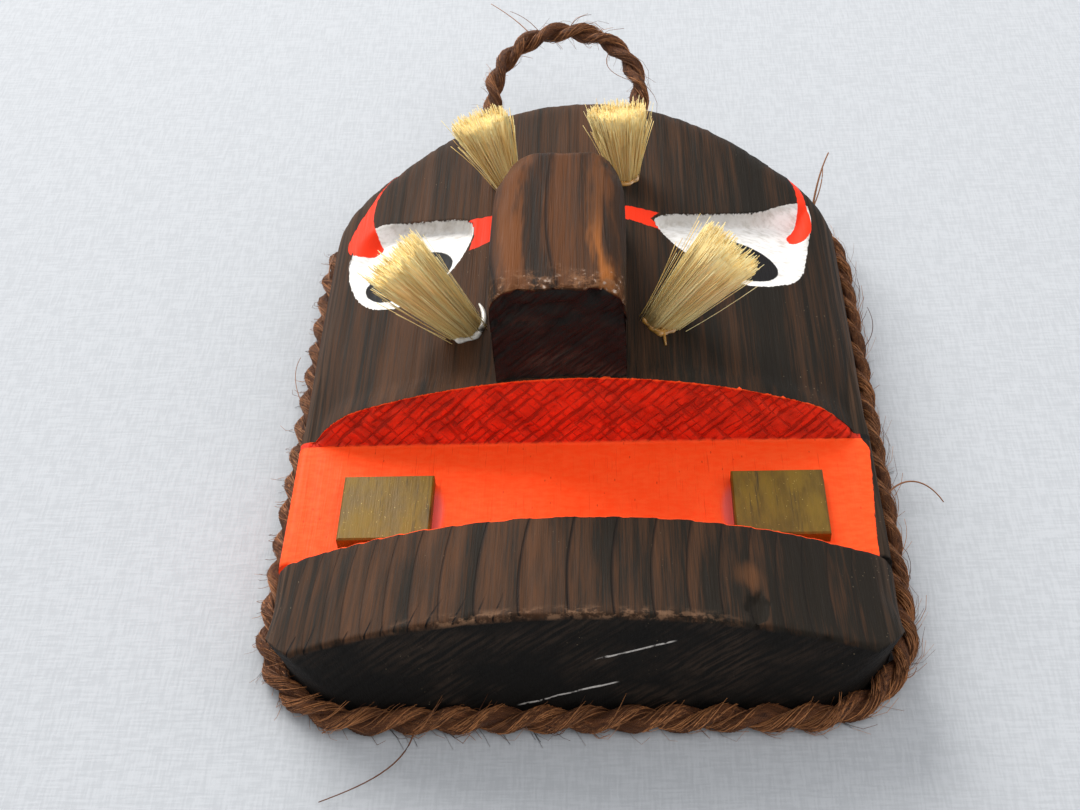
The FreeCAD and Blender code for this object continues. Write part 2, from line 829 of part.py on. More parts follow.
tail_top = "(Sizes.BoardHeight + Sizes.LoopPivotRise - Sizes.KnuckleRadius - Sizes.TailPivotGap)"
crossed_tails = [
    cut(f"crossed_tail_{side}", tail("tail", side, "0", tail_top), [hole])
    for side, hole in zip(TAIL_SIDES, brad_holes)
]
finish_part(group("loop_tails", crossed_tails), "loop_tails")
finish_part(group("loop_brads", [brad("brad", side, "0") for side in TAIL_SIDES]), "loop_brads")

# Check everything, then write each sub-part

doc.recompute()
for obj in doc.Objects:
    if "Invalid" in obj.State or "Error" in obj.State:
        raise RuntimeError(f"{obj.Name} failed: {obj.getStatusString()}")
for obj in sub_parts:
    if obj.Shape.isNull() or not obj.Shape.isValid():
        raise RuntimeError(f"{obj.Label} has no valid shape")
os.makedirs("parts", exist_ok=True)
for obj in sub_parts:
    obj.Shape.exportStep(f"parts/{obj.Label}.step")
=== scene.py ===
import json
import math
from functools import partial

import bpy
import numpy as np
from mathutils import Matrix, Vector


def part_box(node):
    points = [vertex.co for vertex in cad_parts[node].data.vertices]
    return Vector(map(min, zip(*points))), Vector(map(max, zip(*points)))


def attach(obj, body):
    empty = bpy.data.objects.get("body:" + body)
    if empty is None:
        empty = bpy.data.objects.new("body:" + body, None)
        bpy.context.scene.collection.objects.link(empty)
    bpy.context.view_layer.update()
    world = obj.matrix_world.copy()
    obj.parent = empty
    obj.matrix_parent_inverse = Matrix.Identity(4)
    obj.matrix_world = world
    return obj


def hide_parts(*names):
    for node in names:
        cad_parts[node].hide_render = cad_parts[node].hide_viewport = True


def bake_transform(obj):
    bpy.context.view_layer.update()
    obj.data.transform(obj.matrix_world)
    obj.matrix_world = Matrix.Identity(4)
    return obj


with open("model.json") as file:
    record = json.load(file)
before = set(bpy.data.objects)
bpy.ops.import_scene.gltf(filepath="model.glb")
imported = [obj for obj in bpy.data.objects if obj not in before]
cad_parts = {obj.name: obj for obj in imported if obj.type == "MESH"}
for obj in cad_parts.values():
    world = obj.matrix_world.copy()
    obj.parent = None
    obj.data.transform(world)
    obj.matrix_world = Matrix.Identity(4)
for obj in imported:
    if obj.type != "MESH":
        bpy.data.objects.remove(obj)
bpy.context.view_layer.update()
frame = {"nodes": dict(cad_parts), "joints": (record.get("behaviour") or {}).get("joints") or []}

# The looks of a charred cedar wall mask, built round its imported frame.
# Shapes are worked out in millimetres as (across, up, out): across the face, up from the chin's flat
# bottom and out from the flat back. to_frame turns them into the frame's metres.

MM = 0.001
TINY = 1e-9
HAIR = 0.01  # a hair's breadth in millimetres


# ---------------------------------------------------------------- sizes taken from the frame

FOOT_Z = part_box("face_board")[0][2]


def box_mm(node):
    """A node's lowest and highest corners as (across, up, out) in millimetres."""
    low, high = ([part / MM for part in corner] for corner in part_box(node))
    foot = FOOT_Z / MM
    return np.array([low[0], low[2] - foot, -high[1]]), np.array([high[0], high[2] - foot, -low[1]])


BOARD_HIGH = box_mm("face_board")[1]
NOSE_LOW, NOSE_HIGH = box_mm("nose_block")
TOOTH_LOW, TOOTH_HIGH = box_mm("tooth_left")
LOOP_LOW, LOOP_HIGH = box_mm("hanging_loop")
TAIL_LOW = box_mm("loop_tails")[0]

HALF_WIDTH = BOARD_HIGH[0]
HEIGHT = BOARD_HIGH[1]
CROWN_RADIUS = 96.0
SHOULDER_RADIUS = 38.0
CORNER_RADIUS = 24.0
CORNER_FRONT_RADIUS = 32.0
CORNER_EASE = 2.0
DOME_RADIUS = 165.0
ROPE_RADIUS = 3.2
FACE_DEPTH = 38.5
RIDGE_DEPTH = BOARD_HIGH[2]
LIP_DEPTH = 36.0
MOUTH_TOP = NOSE_LOW[1]
MOUTH_FLOOR = TOOTH_LOW[2]
LIP_HEIGHT = TOOTH_LOW[1] - 5.0
NOSE_CENTRE = (NOSE_LOW[0] + NOSE_HIGH[0]) / 2
NOSE_HALF = (NOSE_HIGH[0] - NOSE_LOW[0]) / 2
NOSE_HEIGHT = NOSE_HIGH[1] - NOSE_LOW[1]
TOOTH_INNER = abs(TOOTH_HIGH[0])
TOOTH_MIDDLE = (TOOTH_LOW[1] + TOOTH_HIGH[1]) / 2
CORNER_X = HALF_WIDTH - CORNER_RADIUS

SHOULDER_X = HALF_WIDTH - SHOULDER_RADIUS
CROWN_CENTRE = HEIGHT - CROWN_RADIUS
SHOULDER_Z = CROWN_CENTRE + math.sqrt((CROWN_RADIUS - SHOULDER_RADIUS) ** 2 - SHOULDER_X**2)
CROWN_END = CROWN_RADIUS * SHOULDER_X / (CROWN_RADIUS - SHOULDER_RADIUS)


def to_frame(points):
    """(across, up, out) in millimetres to the frame's metres."""
    points = np.asarray(points, float)
    turned = np.stack([points[..., 0], -points[..., 2], points[..., 1]], axis=-1) * MM
    turned[..., 2] += FOOT_Z
    return turned


# ---------------------------------------------------------------- noise and mesh helpers


def lattice(cells, seed):
    """A random number in 0..1 for each whole-numbered cell."""
    i, j, k = (cells[..., n].astype(np.int64) for n in range(3))
    code = (i * 73856093) ^ (j * 19349663) ^ (k * 83492791) ^ (seed * 2654435761)
    code &= 0xFFFFFFFF
    code = ((code ^ (code >> 13)) * 1274126177) & 0xFFFFFFFF
    return ((code ^ (code >> 16)) & 0xFFFF) / 65535.0


def noise(points, scale, seed=0):
    """Smooth noise in -1..1 at points divided by scale, which may differ along each axis."""
    points = np.asarray(points, float) / np.asarray(scale, float)
    cell = np.floor(points)
    part = points - cell
    part = part * part * (3 - 2 * part)
    total = np.zeros(points.shape[:-1])
    for corner in range(8):
        step = np.array([corner & 1, (corner >> 1) & 1, (corner >> 2) & 1])
        weight = np.prod(np.where(step == 1, part, 1 - part), axis=-1)
        total += weight * lattice(cell + step, seed)
    return total * 2 - 1


def ramp(value, low, high):
    """0 below low, 1 above high and smooth between them."""
    share = np.clip((value - low) / (high - low), 0, 1)
    return share * share * (3 - 2 * share)


def unit(vectors):
    """Vectors brought to a length of one."""
    return vectors / np.maximum(np.linalg.norm(vectors, axis=-1, keepdims=True), TINY)


def rotate(angle, first, second):
    """A direction turned by an angle in radians from the first of two directions to the second."""
    angle = np.asarray(angle)[..., None]
    return np.cos(angle) * first + np.sin(angle) * second


def round_turn(count):
    """Angles evenly spread over a whole turn."""
    return np.arange(count) * 2 * math.pi / count


def new_object(name, points, faces, material, values=None, smooth=True):
    """A mesh object from points in millimetres. Values are named numbers, one per point."""
    mesh = bpy.data.meshes.new(name)
    mesh.from_pydata(to_frame(points).tolist(), [], faces)
    for key, numbers in (values or {}).items():
        layer = mesh.attributes.new(key, "FLOAT", "POINT")
        layer.data.foreach_set("value", np.asarray(numbers, np.float32))
    mesh.materials.append(material)
    mesh.polygons.foreach_set("use_smooth", [smooth] * len(mesh.polygons))
    mesh.update()
    obj = bpy.data.objects.new(name, mesh)
    bpy.context.scene.collection.objects.link(obj)
    return obj


def settle(piece, slot, *nodes):
    """Fixes a piece to the mask, in the place of the CAD nodes it stands for."""
    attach(piece, "mask")
    if nodes:
        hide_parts(*nodes)


def grid_faces(rows, columns, start=0, wrap=False):
    """Quads of a grid of points listed row by row; wrap joins the last column to the first."""
    faces = []
    across = columns if wrap else columns - 1
    for r in range(rows - 1):
        for c in range(across):
            right = (c + 1) % columns
            here, there = start + r * columns, start + (r + 1) * columns
            faces.append((here + c, here + right, there + right, there + c))
    return faces


def tube_faces(length, sides, start=0):
    """A closed tube's faces, from rings of points: its wall and its two ends."""
    last = start + (length - 1) * sides
    ends = [tuple(range(start + sides - 1, start - 1, -1)), tuple(range(last, last + sides))]
    return grid_faces(length, sides, start, wrap=True) + ends


def smooth_outline(points):
    """A closed outline with its corners cut twice over into curves."""
    points = np.asarray(points, float)
    for _ in range(2):
        ahead = np.roll(points, -1, axis=0)
        points = np.stack([0.75 * points + 0.25 * ahead, 0.25 * points + 0.75 * ahead], axis=1)
        points = points.reshape(-1, 2)
    return points


def inside_distance(across, up, outline):
    """How far inside a closed outline each point lies, negative outside it."""
    place = np.stack([across, up], axis=-1)
    nearest = np.full(across.shape, 1e9)
    inside = np.zeros(across.shape, bool)
    for start, end in zip(outline, np.roll(outline, -1, axis=0)):
        run = end - start
        share = np.clip(((place - start) @ run) / (run @ run), 0, 1)
        gap = place - start - share[..., None] * run
        nearest = np.minimum(nearest, np.hypot(gap[..., 0], gap[..., 1]))
        crosses = (start[1] > up) != (end[1] > up)
        if start[1] != end[1]:
            at = start[0] + (up - start[1]) * run[0] / run[1]
            inside ^= crosses & (across < at)
    return np.where(inside, nearest, -nearest)


# ---------------------------------------------------------------- shader helpers

WAVE_LENGTH = 2 * math.pi / 20  # the wave texture's own length


class Value:
    """A shader node's output that takes part in plain arithmetic."""

    def __init__(self, nodes, socket):
        self.nodes = nodes
        self.socket = socket

    def __add__(self, other):
        return self.nodes.maths("ADD", self, other)

    def __sub__(self, other):
        return self.nodes.maths("SUBTRACT", self, other)

    def __mul__(self, other):
        return self.nodes.maths("MULTIPLY", self, other)

    def most(self, other):
        """The greater of the two."""
        return self.nodes.maths("MAXIMUM", self, other)

    def fraction(self):
        """What is left of it beyond a whole number."""
        return self.nodes.maths("FRACT", self)

    def clamped(self):
        """Held in 0..1."""
        return self.nodes.maths("ADD", self, 0.0, clamp=True)

    def span(self, low, high, start=0.0, end=1.0, kind="SMOOTHSTEP"):
        """Maps low..high to start..end and holds the ends."""
        inputs = {0: self, 1: low, 2: high, 3: start, 4: end}
        return self.nodes.value("MapRange", 0, inputs, interpolation_type=kind)

    def window(self, low, high, soft):
        """1 between low and high, fading over a soft width at either end."""
        return self.span(low - soft, low + soft) * self.span(high - soft, high + soft, 1.0, 0.0)


class Nodes:
    """Short calls for building one material's nodes."""

    def __init__(self, name):
        self.material = bpy.data.materials.new(name)
        self.material.use_nodes = True
        self.tree = self.material.node_tree
        self.shader = self.tree.nodes["Principled BSDF"]
        self.output = self.tree.nodes["Material Output"]

    def link(self, socket, value):
        """Feeds an input from another node's output, or sets it to a value."""
        if isinstance(value, Value):
            value = value.socket
        if isinstance(value, bpy.types.NodeSocket):
            self.tree.links.new(value, socket)
        elif value is not None:
            socket.default_value = value

    def new(self, kind, inputs, **settings):
        """A new node with its inputs fed and its settings made."""
        node = self.tree.nodes.new("ShaderNode" + kind)
        for name, value in settings.items():
            setattr(node, name, value)
        for name, value in inputs.items():
            self.link(node.inputs[name], value)
        return node

    def value(self, kind, output, inputs, **settings):
        """One output of a new node, as a Value."""
        return Value(self, self.new(kind, inputs, **settings).outputs[output])

    def attribute(self, name):
        """A named number kept on the mesh's points."""
        return self.value("Attribute", "Fac", {}, attribute_name=name)

    def maths(self, operation, a, b=None, clamp=False):
        """One arithmetic step."""
        return self.value("Math", 0, {0: a, 1: b}, operation=operation, use_clamp=clamp)

    def place(self, per_metre=1.0, turn=0.0):
        """Object coordinates, turned about the up axis and then scaled. A vector stays as it is."""
        if isinstance(per_metre, bpy.types.NodeSocket):
            return per_metre
        coordinate = self.new("TexCoord", {}).outputs["Object"]
        scale = np.broadcast_to(per_metre, 3).tolist()
        turned = self.new("Mapping", {"Vector": coordinate, "Rotation": (0, 0, math.radians(turn))})
        return self.new("Mapping", {"Vector": turned.outputs[0], "Scale": scale}).outputs[0]

    def axes(self, vector):
        """A vector's three numbers."""
        return [Value(self, socket) for socket in self.new("SeparateXYZ", {0: vector}).outputs]

    def noise(self, per_metre, detail=3.0, rough=0.55, warp=0.0, turn=0.0):
        """Noise in 0..1 of a given fineness per metre, or at a vector."""
        inputs = {"Vector": self.place(per_metre, turn), "Scale": 1.0, "Detail": detail}
        inputs.update({"Roughness": rough, "Distortion": warp})
        return self.value("TexNoise", "Fac", inputs)

    def strokes(self, turn, pitch):
        """Even parallel strokes at an angle, -1..1, that wander a little."""
        inputs = {"Vector": self.place(WAVE_LENGTH / pitch, turn), "Scale": 1.0}
        inputs.update({"Distortion": 4.0, "Detail Scale": 0.8})
        wave = self.value("TexWave", "Fac", inputs, bands_direction="Y")
        return wave.span(0.0, 1.0, -1.0, 1.0, "LINEAR")

    def cells(self, per_metre):
        """Distance to the nearest scattered point."""
        return self.value("TexVoronoi", "Distance", {"Vector": self.place(per_metre), "Scale": 1.0})

    def scratch(self, start, end, half_width):
        """1 along a thin straight line between two places, each (across, out) in millimetres, on the
        mask's lower half."""
        across, out, up = self.axes(self.place((1 / MM, -1 / MM, 1 / MM)))
        run = np.subtract(end, start)
        length = float(np.hypot(*run))
        cosine, sine = (float(part) / length for part in run)
        x, y = across - start[0], out - start[1]
        thin = (y * cosine + x * -sine).window(-half_width, half_width, half_width / 2)
        return thin * (x * cosine + y * sine).window(0.0, length, 1.0) * up.span(0.0, 1.0, 1.0, 0.0)

    def mix(self, share, a, b):
        """Two colours mixed by a share in 0..1."""
        a, b = (rgb(colour) if isinstance(colour, tuple) else colour for colour in (a, b))
        return self.new("Mix", {0: share, 6: a, 7: b}, data_type="RGBA").outputs[2]

    def layers(self, colour, *coats):
        """A colour under thin coats laid one over another, each given as its share and its colour."""
        for share, coat in coats:
            colour = self.mix(share, colour, coat)
        return colour

    def bump(self, height, distance, strength=1.0):
        """A normal from a height, with the distance in metres."""
        inputs = {"Strength": strength, "Distance": distance, "Height": height}
        return self.new("Bump", inputs).outputs[0]

    def finish(self, colour, roughness, normal, **inputs):
        """Feeds the Principled shader and gives the material back."""
        inputs.update({"Base_Color": colour, "Roughness": roughness, "Normal": normal})
        for name, value in inputs.items():
            self.link(self.shader.inputs[name.replace("_", " ")], value)
        return self.material


def linear(channel):
    """A colour channel of 0..255 as it is seen, made linear."""
    channel /= 255
    return channel / 12.92 if channel <= 0.04045 else ((channel + 0.055) / 1.055) ** 2.4


def rgb(colour):
    """A colour as seen, 0..255, for a socket."""
    return (*(linear(channel) for channel in colour), 1.0)


# ---------------------------------------------------------------- wood

GRAIN_DEPTH = 0.4 * MM
SAW_ANGLES = (44, -50)
PAINT_EDGE = 0.12
SCRATCH_HALF = 0.26
# Scratches on the chin's underside, each from one place to another as (across, out).
SCRATCHES = (((3.9, 23.7), (21.0, 30.4)), ((-15.0, 5.1), (7.9, 14.4)))


def wood_colour(nodes, brown, char, line):
    """Cedar charred and brushed: each ring starts with a dark line, then brown fades to char. The
    mesh says how strong the ring lines are, and how much each place is darkened by char and by painted
    shade."""
    phase = nodes.attribute("ring").fraction()
    lines = nodes.attribute("lines")
    long_streaks = nodes.noise((900, 160, 20), 4, 0.6)
    fine_streaks = nodes.noise((3200, 420, 70), 3, 0.6)
    bands = nodes.noise((85, 85, 5), 3, warp=0.3)
    tone = phase.span(0.12, 1.0, 0.28, -0.28) * lines + 0.5 + bands.span(0.32, 0.68, -0.3, 0.3)
    tone = tone + long_streaks.span(0.3, 0.7, -0.22, 0.22) + fine_streaks.span(0.3, 0.7, -0.2, 0.2)
    # Darkened where the wood is more charred, and by painted shade towards the plank's right side.
    tone = (tone - nodes.attribute("burn")).clamped()
    dark_line = phase.span(0.0, 0.08, 1.0, 0.0).most(phase.span(0.965, 1.0))
    dark_line = dark_line * long_streaks.span(0.25, 0.6, 0.5, 1.0) * lines
    colour = nodes.mix(dark_line, nodes.mix(tone, char, brown), line)
    height = long_streaks * 0.7 + fine_streaks * 0.6 - dark_line * 0.4
    return colour, height, long_streaks, fine_streaks


def sawn_colour(nodes, colour, char, pale):
    """End grain left by a coarse saw: near black, with slanting scores and paler patches."""
    main, other = SAW_ANGLES
    scores = nodes.noise((80, 1000, 300), 3, 0.6, turn=main) + nodes.strokes(main, 2.3 * MM) * 0.1
    crossing = nodes.noise((90, 1000, 300), 2, 0.6, turn=other) + nodes.strokes(other, 2.7 * MM) * 0.1
    tone = nodes.noise((45, 60, 45), 3, 0.6).span(0.4, 0.72) * scores.span(0.35, 0.65)
    end_grain = nodes.mix(scores.span(0.6, 0.72, 0.0, 0.7), nodes.mix(tone, char, pale), (12, 10, 10))
    return nodes.mix(nodes.attribute("sawn"), colour, end_grain), scores, crossing


def worn_wood(nodes, wood, long_streaks):
    """Pale worn edges, painted highlight in pale streaks along the rounded sides, the chin's scratches and
    some dust over the plank's wood.
    """
    chips = nodes.noise((260, 260, 500), 4, 0.7)
    gaps = nodes.noise(500, 2).span(0.34, 0.5) * nodes.attribute("sawn")
    dust = nodes.cells(620).span(0.05, 0.10, 1.0, 0.0) * nodes.noise(40, 2).span(0.56, 0.66)
    return nodes.layers(
        wood,
        (nodes.attribute("wear") * chips.span(0.47, 0.6), (130, 98, 74)),
        # Painted highlight: pale streaks along the rounded sides.
        (nodes.attribute("rub") * long_streaks.span(0.35, 0.7), (92, 70, 54)),
        *((nodes.scratch(*ends, SCRATCH_HALF) * gaps, (196, 190, 184)) for ends in SCRATCHES),
        (dust * 0.6, (170, 150, 120)),
    )


def red_paint(nodes, brush, fine_streaks, scores, crossing):
    """Glossy red that is darker on the face, and dark in the saw's scores on the rough wall. Also
    gives how deep those scores are."""
    on_face = nodes.axes(nodes.place())[2].span(-20 * MM, 0.0)
    rough_wall = nodes.attribute("rough")
    scores_deep = scores.span(0.52, 0.68).most(crossing.span(0.54, 0.7, 0.0, 0.75))
    scores_deep = (nodes.attribute("groove") * 0.25 + scores_deep) * rough_wall
    rough_red = nodes.mix(nodes.noise(160).span(0.35, 0.65), (192, 44, 24), (228, 52, 26))
    red = nodes.layers(
        nodes.mix(brush.span(0.3, 0.7), (255, 76, 24), (255, 88, 36)),
        (nodes.cells((420, 420, 160)).span(0.05, 0.09, 0.45, 0.0), (150, 26, 10)),
        (fine_streaks.span(0.62, 0.72, 0.0, 0.4), (186, 40, 16)),
        (on_face, (236, 52, 20)),
        (rough_wall, rough_red),
        ((scores_deep * 0.5).clamped(), (84, 18, 12)),
        (nodes.attribute("stain"), (214, 96, 92)),
    )
    return red, scores_deep


def board_material():
    """The plank: charred wood, with red and white paint held by the mesh's paint distances."""
    nodes = Nodes("charred_cedar")
    wood, height, long_streaks, fine_streaks = wood_colour(nodes, (80, 53, 35), (30, 25, 19), (13, 10, 9))
    crack = nodes.attribute("crack").fraction().span(0.05, 0.13, 1.0, 0.0)
    crack = crack * nodes.noise(75, 2).span(0.42, 0.5) * nodes.attribute("ridge")
    wood = nodes.layers(wood, (crack, (10, 8, 8)), (nodes.attribute("glow"), (128, 82, 48)))
    wood, scores, crossing = sawn_colour(nodes, wood, (20, 18, 16), (54, 43, 35))
    wood = worn_wood(nodes, wood, long_streaks)
    edge = (nodes.noise((1400, 1400, 420), 3, 0.7) - 0.5) * 0.9

    def painted(name, wobble):
        """1 inside a paint outline, with an edge that wanders a little along the grain."""
        return (edge * wobble + nodes.attribute(name)).span(-PAINT_EDGE, PAINT_EDGE)

    brush = nodes.noise((350, 350, 900), 4, 0.6)
    white = nodes.mix(brush.span(0.3, 0.6), (206, 202, 196), (234, 232, 229))
    # Greyer white under the brow: painted shade, partly thin paint on rough end grain.
    white = nodes.mix(nodes.attribute("shade"), white, (128, 116, 102))
    red, scores_deep = red_paint(nodes, brush, fine_streaks, scores, crossing)
    white_mask, black_mask, red_mask = painted("white", 1.3), painted("black", 0.5), painted("red", 1.0)
    colour = nodes.layers(wood, (white_mask, white), (black_mask, (20, 19, 20)), (red_mask, red))

    paint = red_mask.most(white_mask)
    roughness = fine_streaks.span(0.2, 0.8, 0.6, 0.85) - paint * 0.12
    height = height * paint.span(0.0, 1.0, 1.0, 0.22) + paint * 0.3
    height = height - nodes.attribute("sawn") * scores - scores_deep * 0.8 - crack * 1.2
    return nodes.finish(colour, roughness, nodes.bump(height, GRAIN_DEPTH, 0.9), Specular_IOR_Level=0.12)


def nose_material():
    """The nose: browner cedar in bowed bands, an orange streak, and a worn, speckled lower edge."""
    nodes = Nodes("brown_cedar")
    wood, height, long_streaks, fine_streaks = wood_colour(nodes, (84, 50, 26), (33, 24, 16), (13, 10, 9))
    sway = nodes.noise((260, 260, 30), 3, 0.6).span(0.2, 0.8, -2.2, 2.2)
    band = nodes.attribute("ring") * NOSE_RING + sway
    lengthwise = nodes.noise((55, 55, 26), 2).span(0.3, 0.6, 0.3, 0.9)
    streaky = fine_streaks.span(0.3, 0.7, 0.85, 0.45)
    low = nodes.attribute("low").span(0.0, 1.0, 0.2, 0.8)
    wood = nodes.layers(
        wood,
        (band.window(-12.5, -7.0, 1.4) * lengthwise, (106, 62, 30)),
        (band.window(-5.2, -0.6, 1.6) * streaky, (31, 24, 18)),
        (band.window(10.6, 13.8, 1.6) * low, (150, 88, 36)),
        (band.span(14.6, 17.0, 0.0, 0.75), (33, 26, 20)),
    )
    wood, scores, _ = sawn_colour(nodes, wood, (31, 28, 26), (68, 58, 50))
    chips = nodes.noise(420, 4, 0.7)
    wear = nodes.attribute("wear")
    specks = nodes.cells(560).span(0.2, 0.45, 1.0, 0.0) * chips.span(0.53, 0.62) * wear
    worn = wear * chips.span(0.46, 0.62, 0.0, 0.75)
    wood = nodes.layers(wood, (worn, (124, 86, 58)), (specks, (170, 152, 138)))
    roughness = fine_streaks.span(0.2, 0.8, 0.5, 0.75)
    height = height - nodes.attribute("sawn") * scores * 2.2 + wear * chips * 1.2
    return nodes.finish(wood, roughness, nodes.bump(height, GRAIN_DEPTH, 0.9), Specular_IOR_Level=0.09)


# ---------------------------------------------------------------- plank


def corner_radius(out):
    """The bottom corners' radius: even behind the rope, then growing towards the front."""
    behind = 2 * ROPE_RADIUS
    share = np.clip((out - behind) / (RIDGE_DEPTH - behind), 0, 1)
    return CORNER_RADIUS + (CORNER_FRONT_RADIUS - CORNER_RADIUS) * share


def outline_distance(across, up):
    """How far inside the plank's front outline a point lies, and the slant of the nearest edge: 0 at
    the sides, 1 at the top and -1 at the bottom."""
    x = np.abs(across)
    side = HALF_WIDTH - x
    shoulder = np.hypot(x - SHOULDER_X, up - SHOULDER_Z)
    corner = np.hypot(x - CORNER_X, up - CORNER_RADIUS)
    in_corner = np.minimum(np.minimum(CORNER_FRONT_RADIUS - CORNER_EASE - corner, side), up)
    wedge = SHOULDER_X / (SHOULDER_Z - CROWN_CENTRE)
    low = up < CORNER_RADIUS
    zones = [
        low & (x <= CORNER_X) & (up < side),
        low & (x > CORNER_X),
        (up > CROWN_CENTRE) & (x < wedge * (up - CROWN_CENTRE)),
        (up > SHOULDER_Z) & (x > SHOULDER_X),
    ]
    crown = CROWN_RADIUS - np.hypot(x, up - CROWN_CENTRE)
    distance = np.select(zones, [up, in_corner, crown, SHOULDER_RADIUS - shoulder], side)
    corner_slant = (up - CORNER_RADIUS) / np.maximum(corner, TINY)
    shoulder_slant = (up - SHOULDER_Z) / np.maximum(shoulder, TINY)
    return np.maximum(distance, 0), np.select(zones, [-1.0, corner_slant, 1.0, shoulder_slant], 0.0)


def round_off(distance, radius):
    """How far a rounded edge falls back at a distance inside the outline."""
    inner = np.clip(radius - distance, 0, radius)
    return radius - np.sqrt(np.maximum(radius**2 - inner**2, 0))


def dome_fall(across):
    """How far the dome falls back from its middle line at a place across."""
    return DOME_RADIUS - np.sqrt(DOME_RADIUS**2 - across**2)


def dome(across):
    """The dome's distance out from the back at a place across."""
    return FACE_DEPTH - dome_fall(across)


# Outlines of the carved eyes and of the red paint, as (across, up).
EYES = [
    smooth_outline([(-31.5, 146.5), (-47, 149.5), (-62.5, 156), (-69, 147), (-68.5, 133), (-63, 119),
                    (-54.5, 113.5), (-45, 114.5), (-36, 124), (-30.5, 138)]),
    smooth_outline([(20.5, 144), (36, 146.5), (52, 152), (60, 159.5), (68, 164.5), (69, 158),
                    (65.5, 141), (62.5, 125.5), (53, 119.5), (43, 117.5), (29, 128), (22, 137.5)]),
]
RED_OUTLINES = [
    smooth_outline([(-53.5, 183.5), (-60.5, 176.5), (-64, 167), (-68.5, 158), (-71, 149), (-67.5, 143),
                    (-58, 146.5), (-61.5, 152), (-63.3, 158), (-63.0, 167), (-60.4, 176)]),
    smooth_outline([(57, 189.5), (63.5, 182), (66.5, 171), (67.5, 161), (69, 155), (66.5, 147),
                    (63, 143.5), (59.5, 149.5), (63.5, 154), (65, 163), (64.0, 175), (61.5, 182.5)]),
    np.array([(-18, 146.5), (-27, 146), (-33.5, 145.5), (-30.5, 138), (-32, 131.5), (-18, 138)]),
    np.array([(6, 147), (14, 147.2), (22.5, 145), (20, 142.2), (25, 136.5), (14, 141), (6, 141)]),
]
# Each pupil's centre, half sizes and tilt in degrees.
PUPILS = (((-49.5, 128.5), (13.0, 10.5), 20.0), ((43.5, 131.0), (12.6, 9.5), -12.0))


def ellipse_distance(across, up, centre, half_sizes, tilt):
    """Roughly how far inside a tilted ellipse each point lies."""
    angle = math.radians(tilt)
    x, y = across - centre[0], up - centre[1]
    along = x * math.cos(angle) + y * math.sin(angle)
    over = y * math.cos(angle) - x * math.sin(angle)
    reach = np.hypot(along / half_sizes[0], over / half_sizes[1])
    return (1 - reach) * min(half_sizes)


SOCKET_FOOT = 114.0
SOCKET_SLOPE = 5.0 / 38.0


def socket_depth(across, up):
    """The eyes' carving: a floor that rises to nothing below, with a steep wall under the brow that
    softens towards the temples. Also tells how far inside the outlines each point lies."""
    inside = np.maximum(*(inside_distance(across, up, eye) for eye in EYES))
    floor = np.clip((up - SOCKET_FOOT) * SOCKET_SLOPE, 0, None)
    wall = 1.2 + 7.0 * ramp(np.abs(across), 52, 66)
    return floor * ramp(inside / wall, 0.0, 1.0), inside


RING_TILT = 0.43
RING_LINE = -13.8


def ring_count(across):
    """Growth rings counted across the chin's ridge: wide in the middle and finer to the sides."""
    places = np.linspace(-130, 130, 521)
    width = 5.0 + 6.0 * np.exp(-(((places + 10) / 30) ** 2))
    total = np.cumsum((places[1] - places[0]) / width)
    return np.interp(across, places, total) - np.interp(RING_LINE, places, total) + 40


def board_ring(points):
    """Growth rings counted at points: slanting layers that wander a little along the grain."""
    wander = 1.5 * noise(points, (60, 80, 200), 3) + 0.5 * noise(points, (18, 30, 60), 4)
    bow = 1.6 * ((points[..., 1] - 20) / 20) ** 2 * ramp(points[..., 1], 45, 30)
    return ring_count(points[..., 0] + wander - bow + RING_TILT * (points[..., 2] - RIDGE_DEPTH))


def brushed(points, ring, lines, seed=0):
    """The surface's fall where brushing has taken soft wood: grooves that follow the rings."""
    phase = ring - np.floor(ring)
    groove = 0.34 * ramp(phase, 0.0, 0.10) * (1 - 0.8 * ramp(phase, 0.10, 1.0))
    broad = 0.17 * noise(points, (1.8, 60, 6), seed + 11)
    fine = 0.10 * noise(points, (1.1, 30, 4), seed + 12)
    return groove * (0.3 + 0.7 * lines) - 0.1 + broad + fine


def saw_scores(points, angle, seed):
    """How deep a coarse saw's slanting scores are on a level wall, 0..1."""
    c, s = math.cos(math.radians(angle)), math.sin(math.radians(angle))
    turn = np.array([[c, 0, s], [0, 1, 0], [-s, 0, c]])
    return ramp(noise(points @ turn, (1.5, 9, 14), seed), 0.1, 0.75)


def surface_normals(points):
    """Outward unit normals of a grid of points whose rows run up the front, in one list."""
    normal = np.cross(np.gradient(points, axis=1), np.gradient(points, axis=0))
    return unit(normal).reshape(-1, 3)


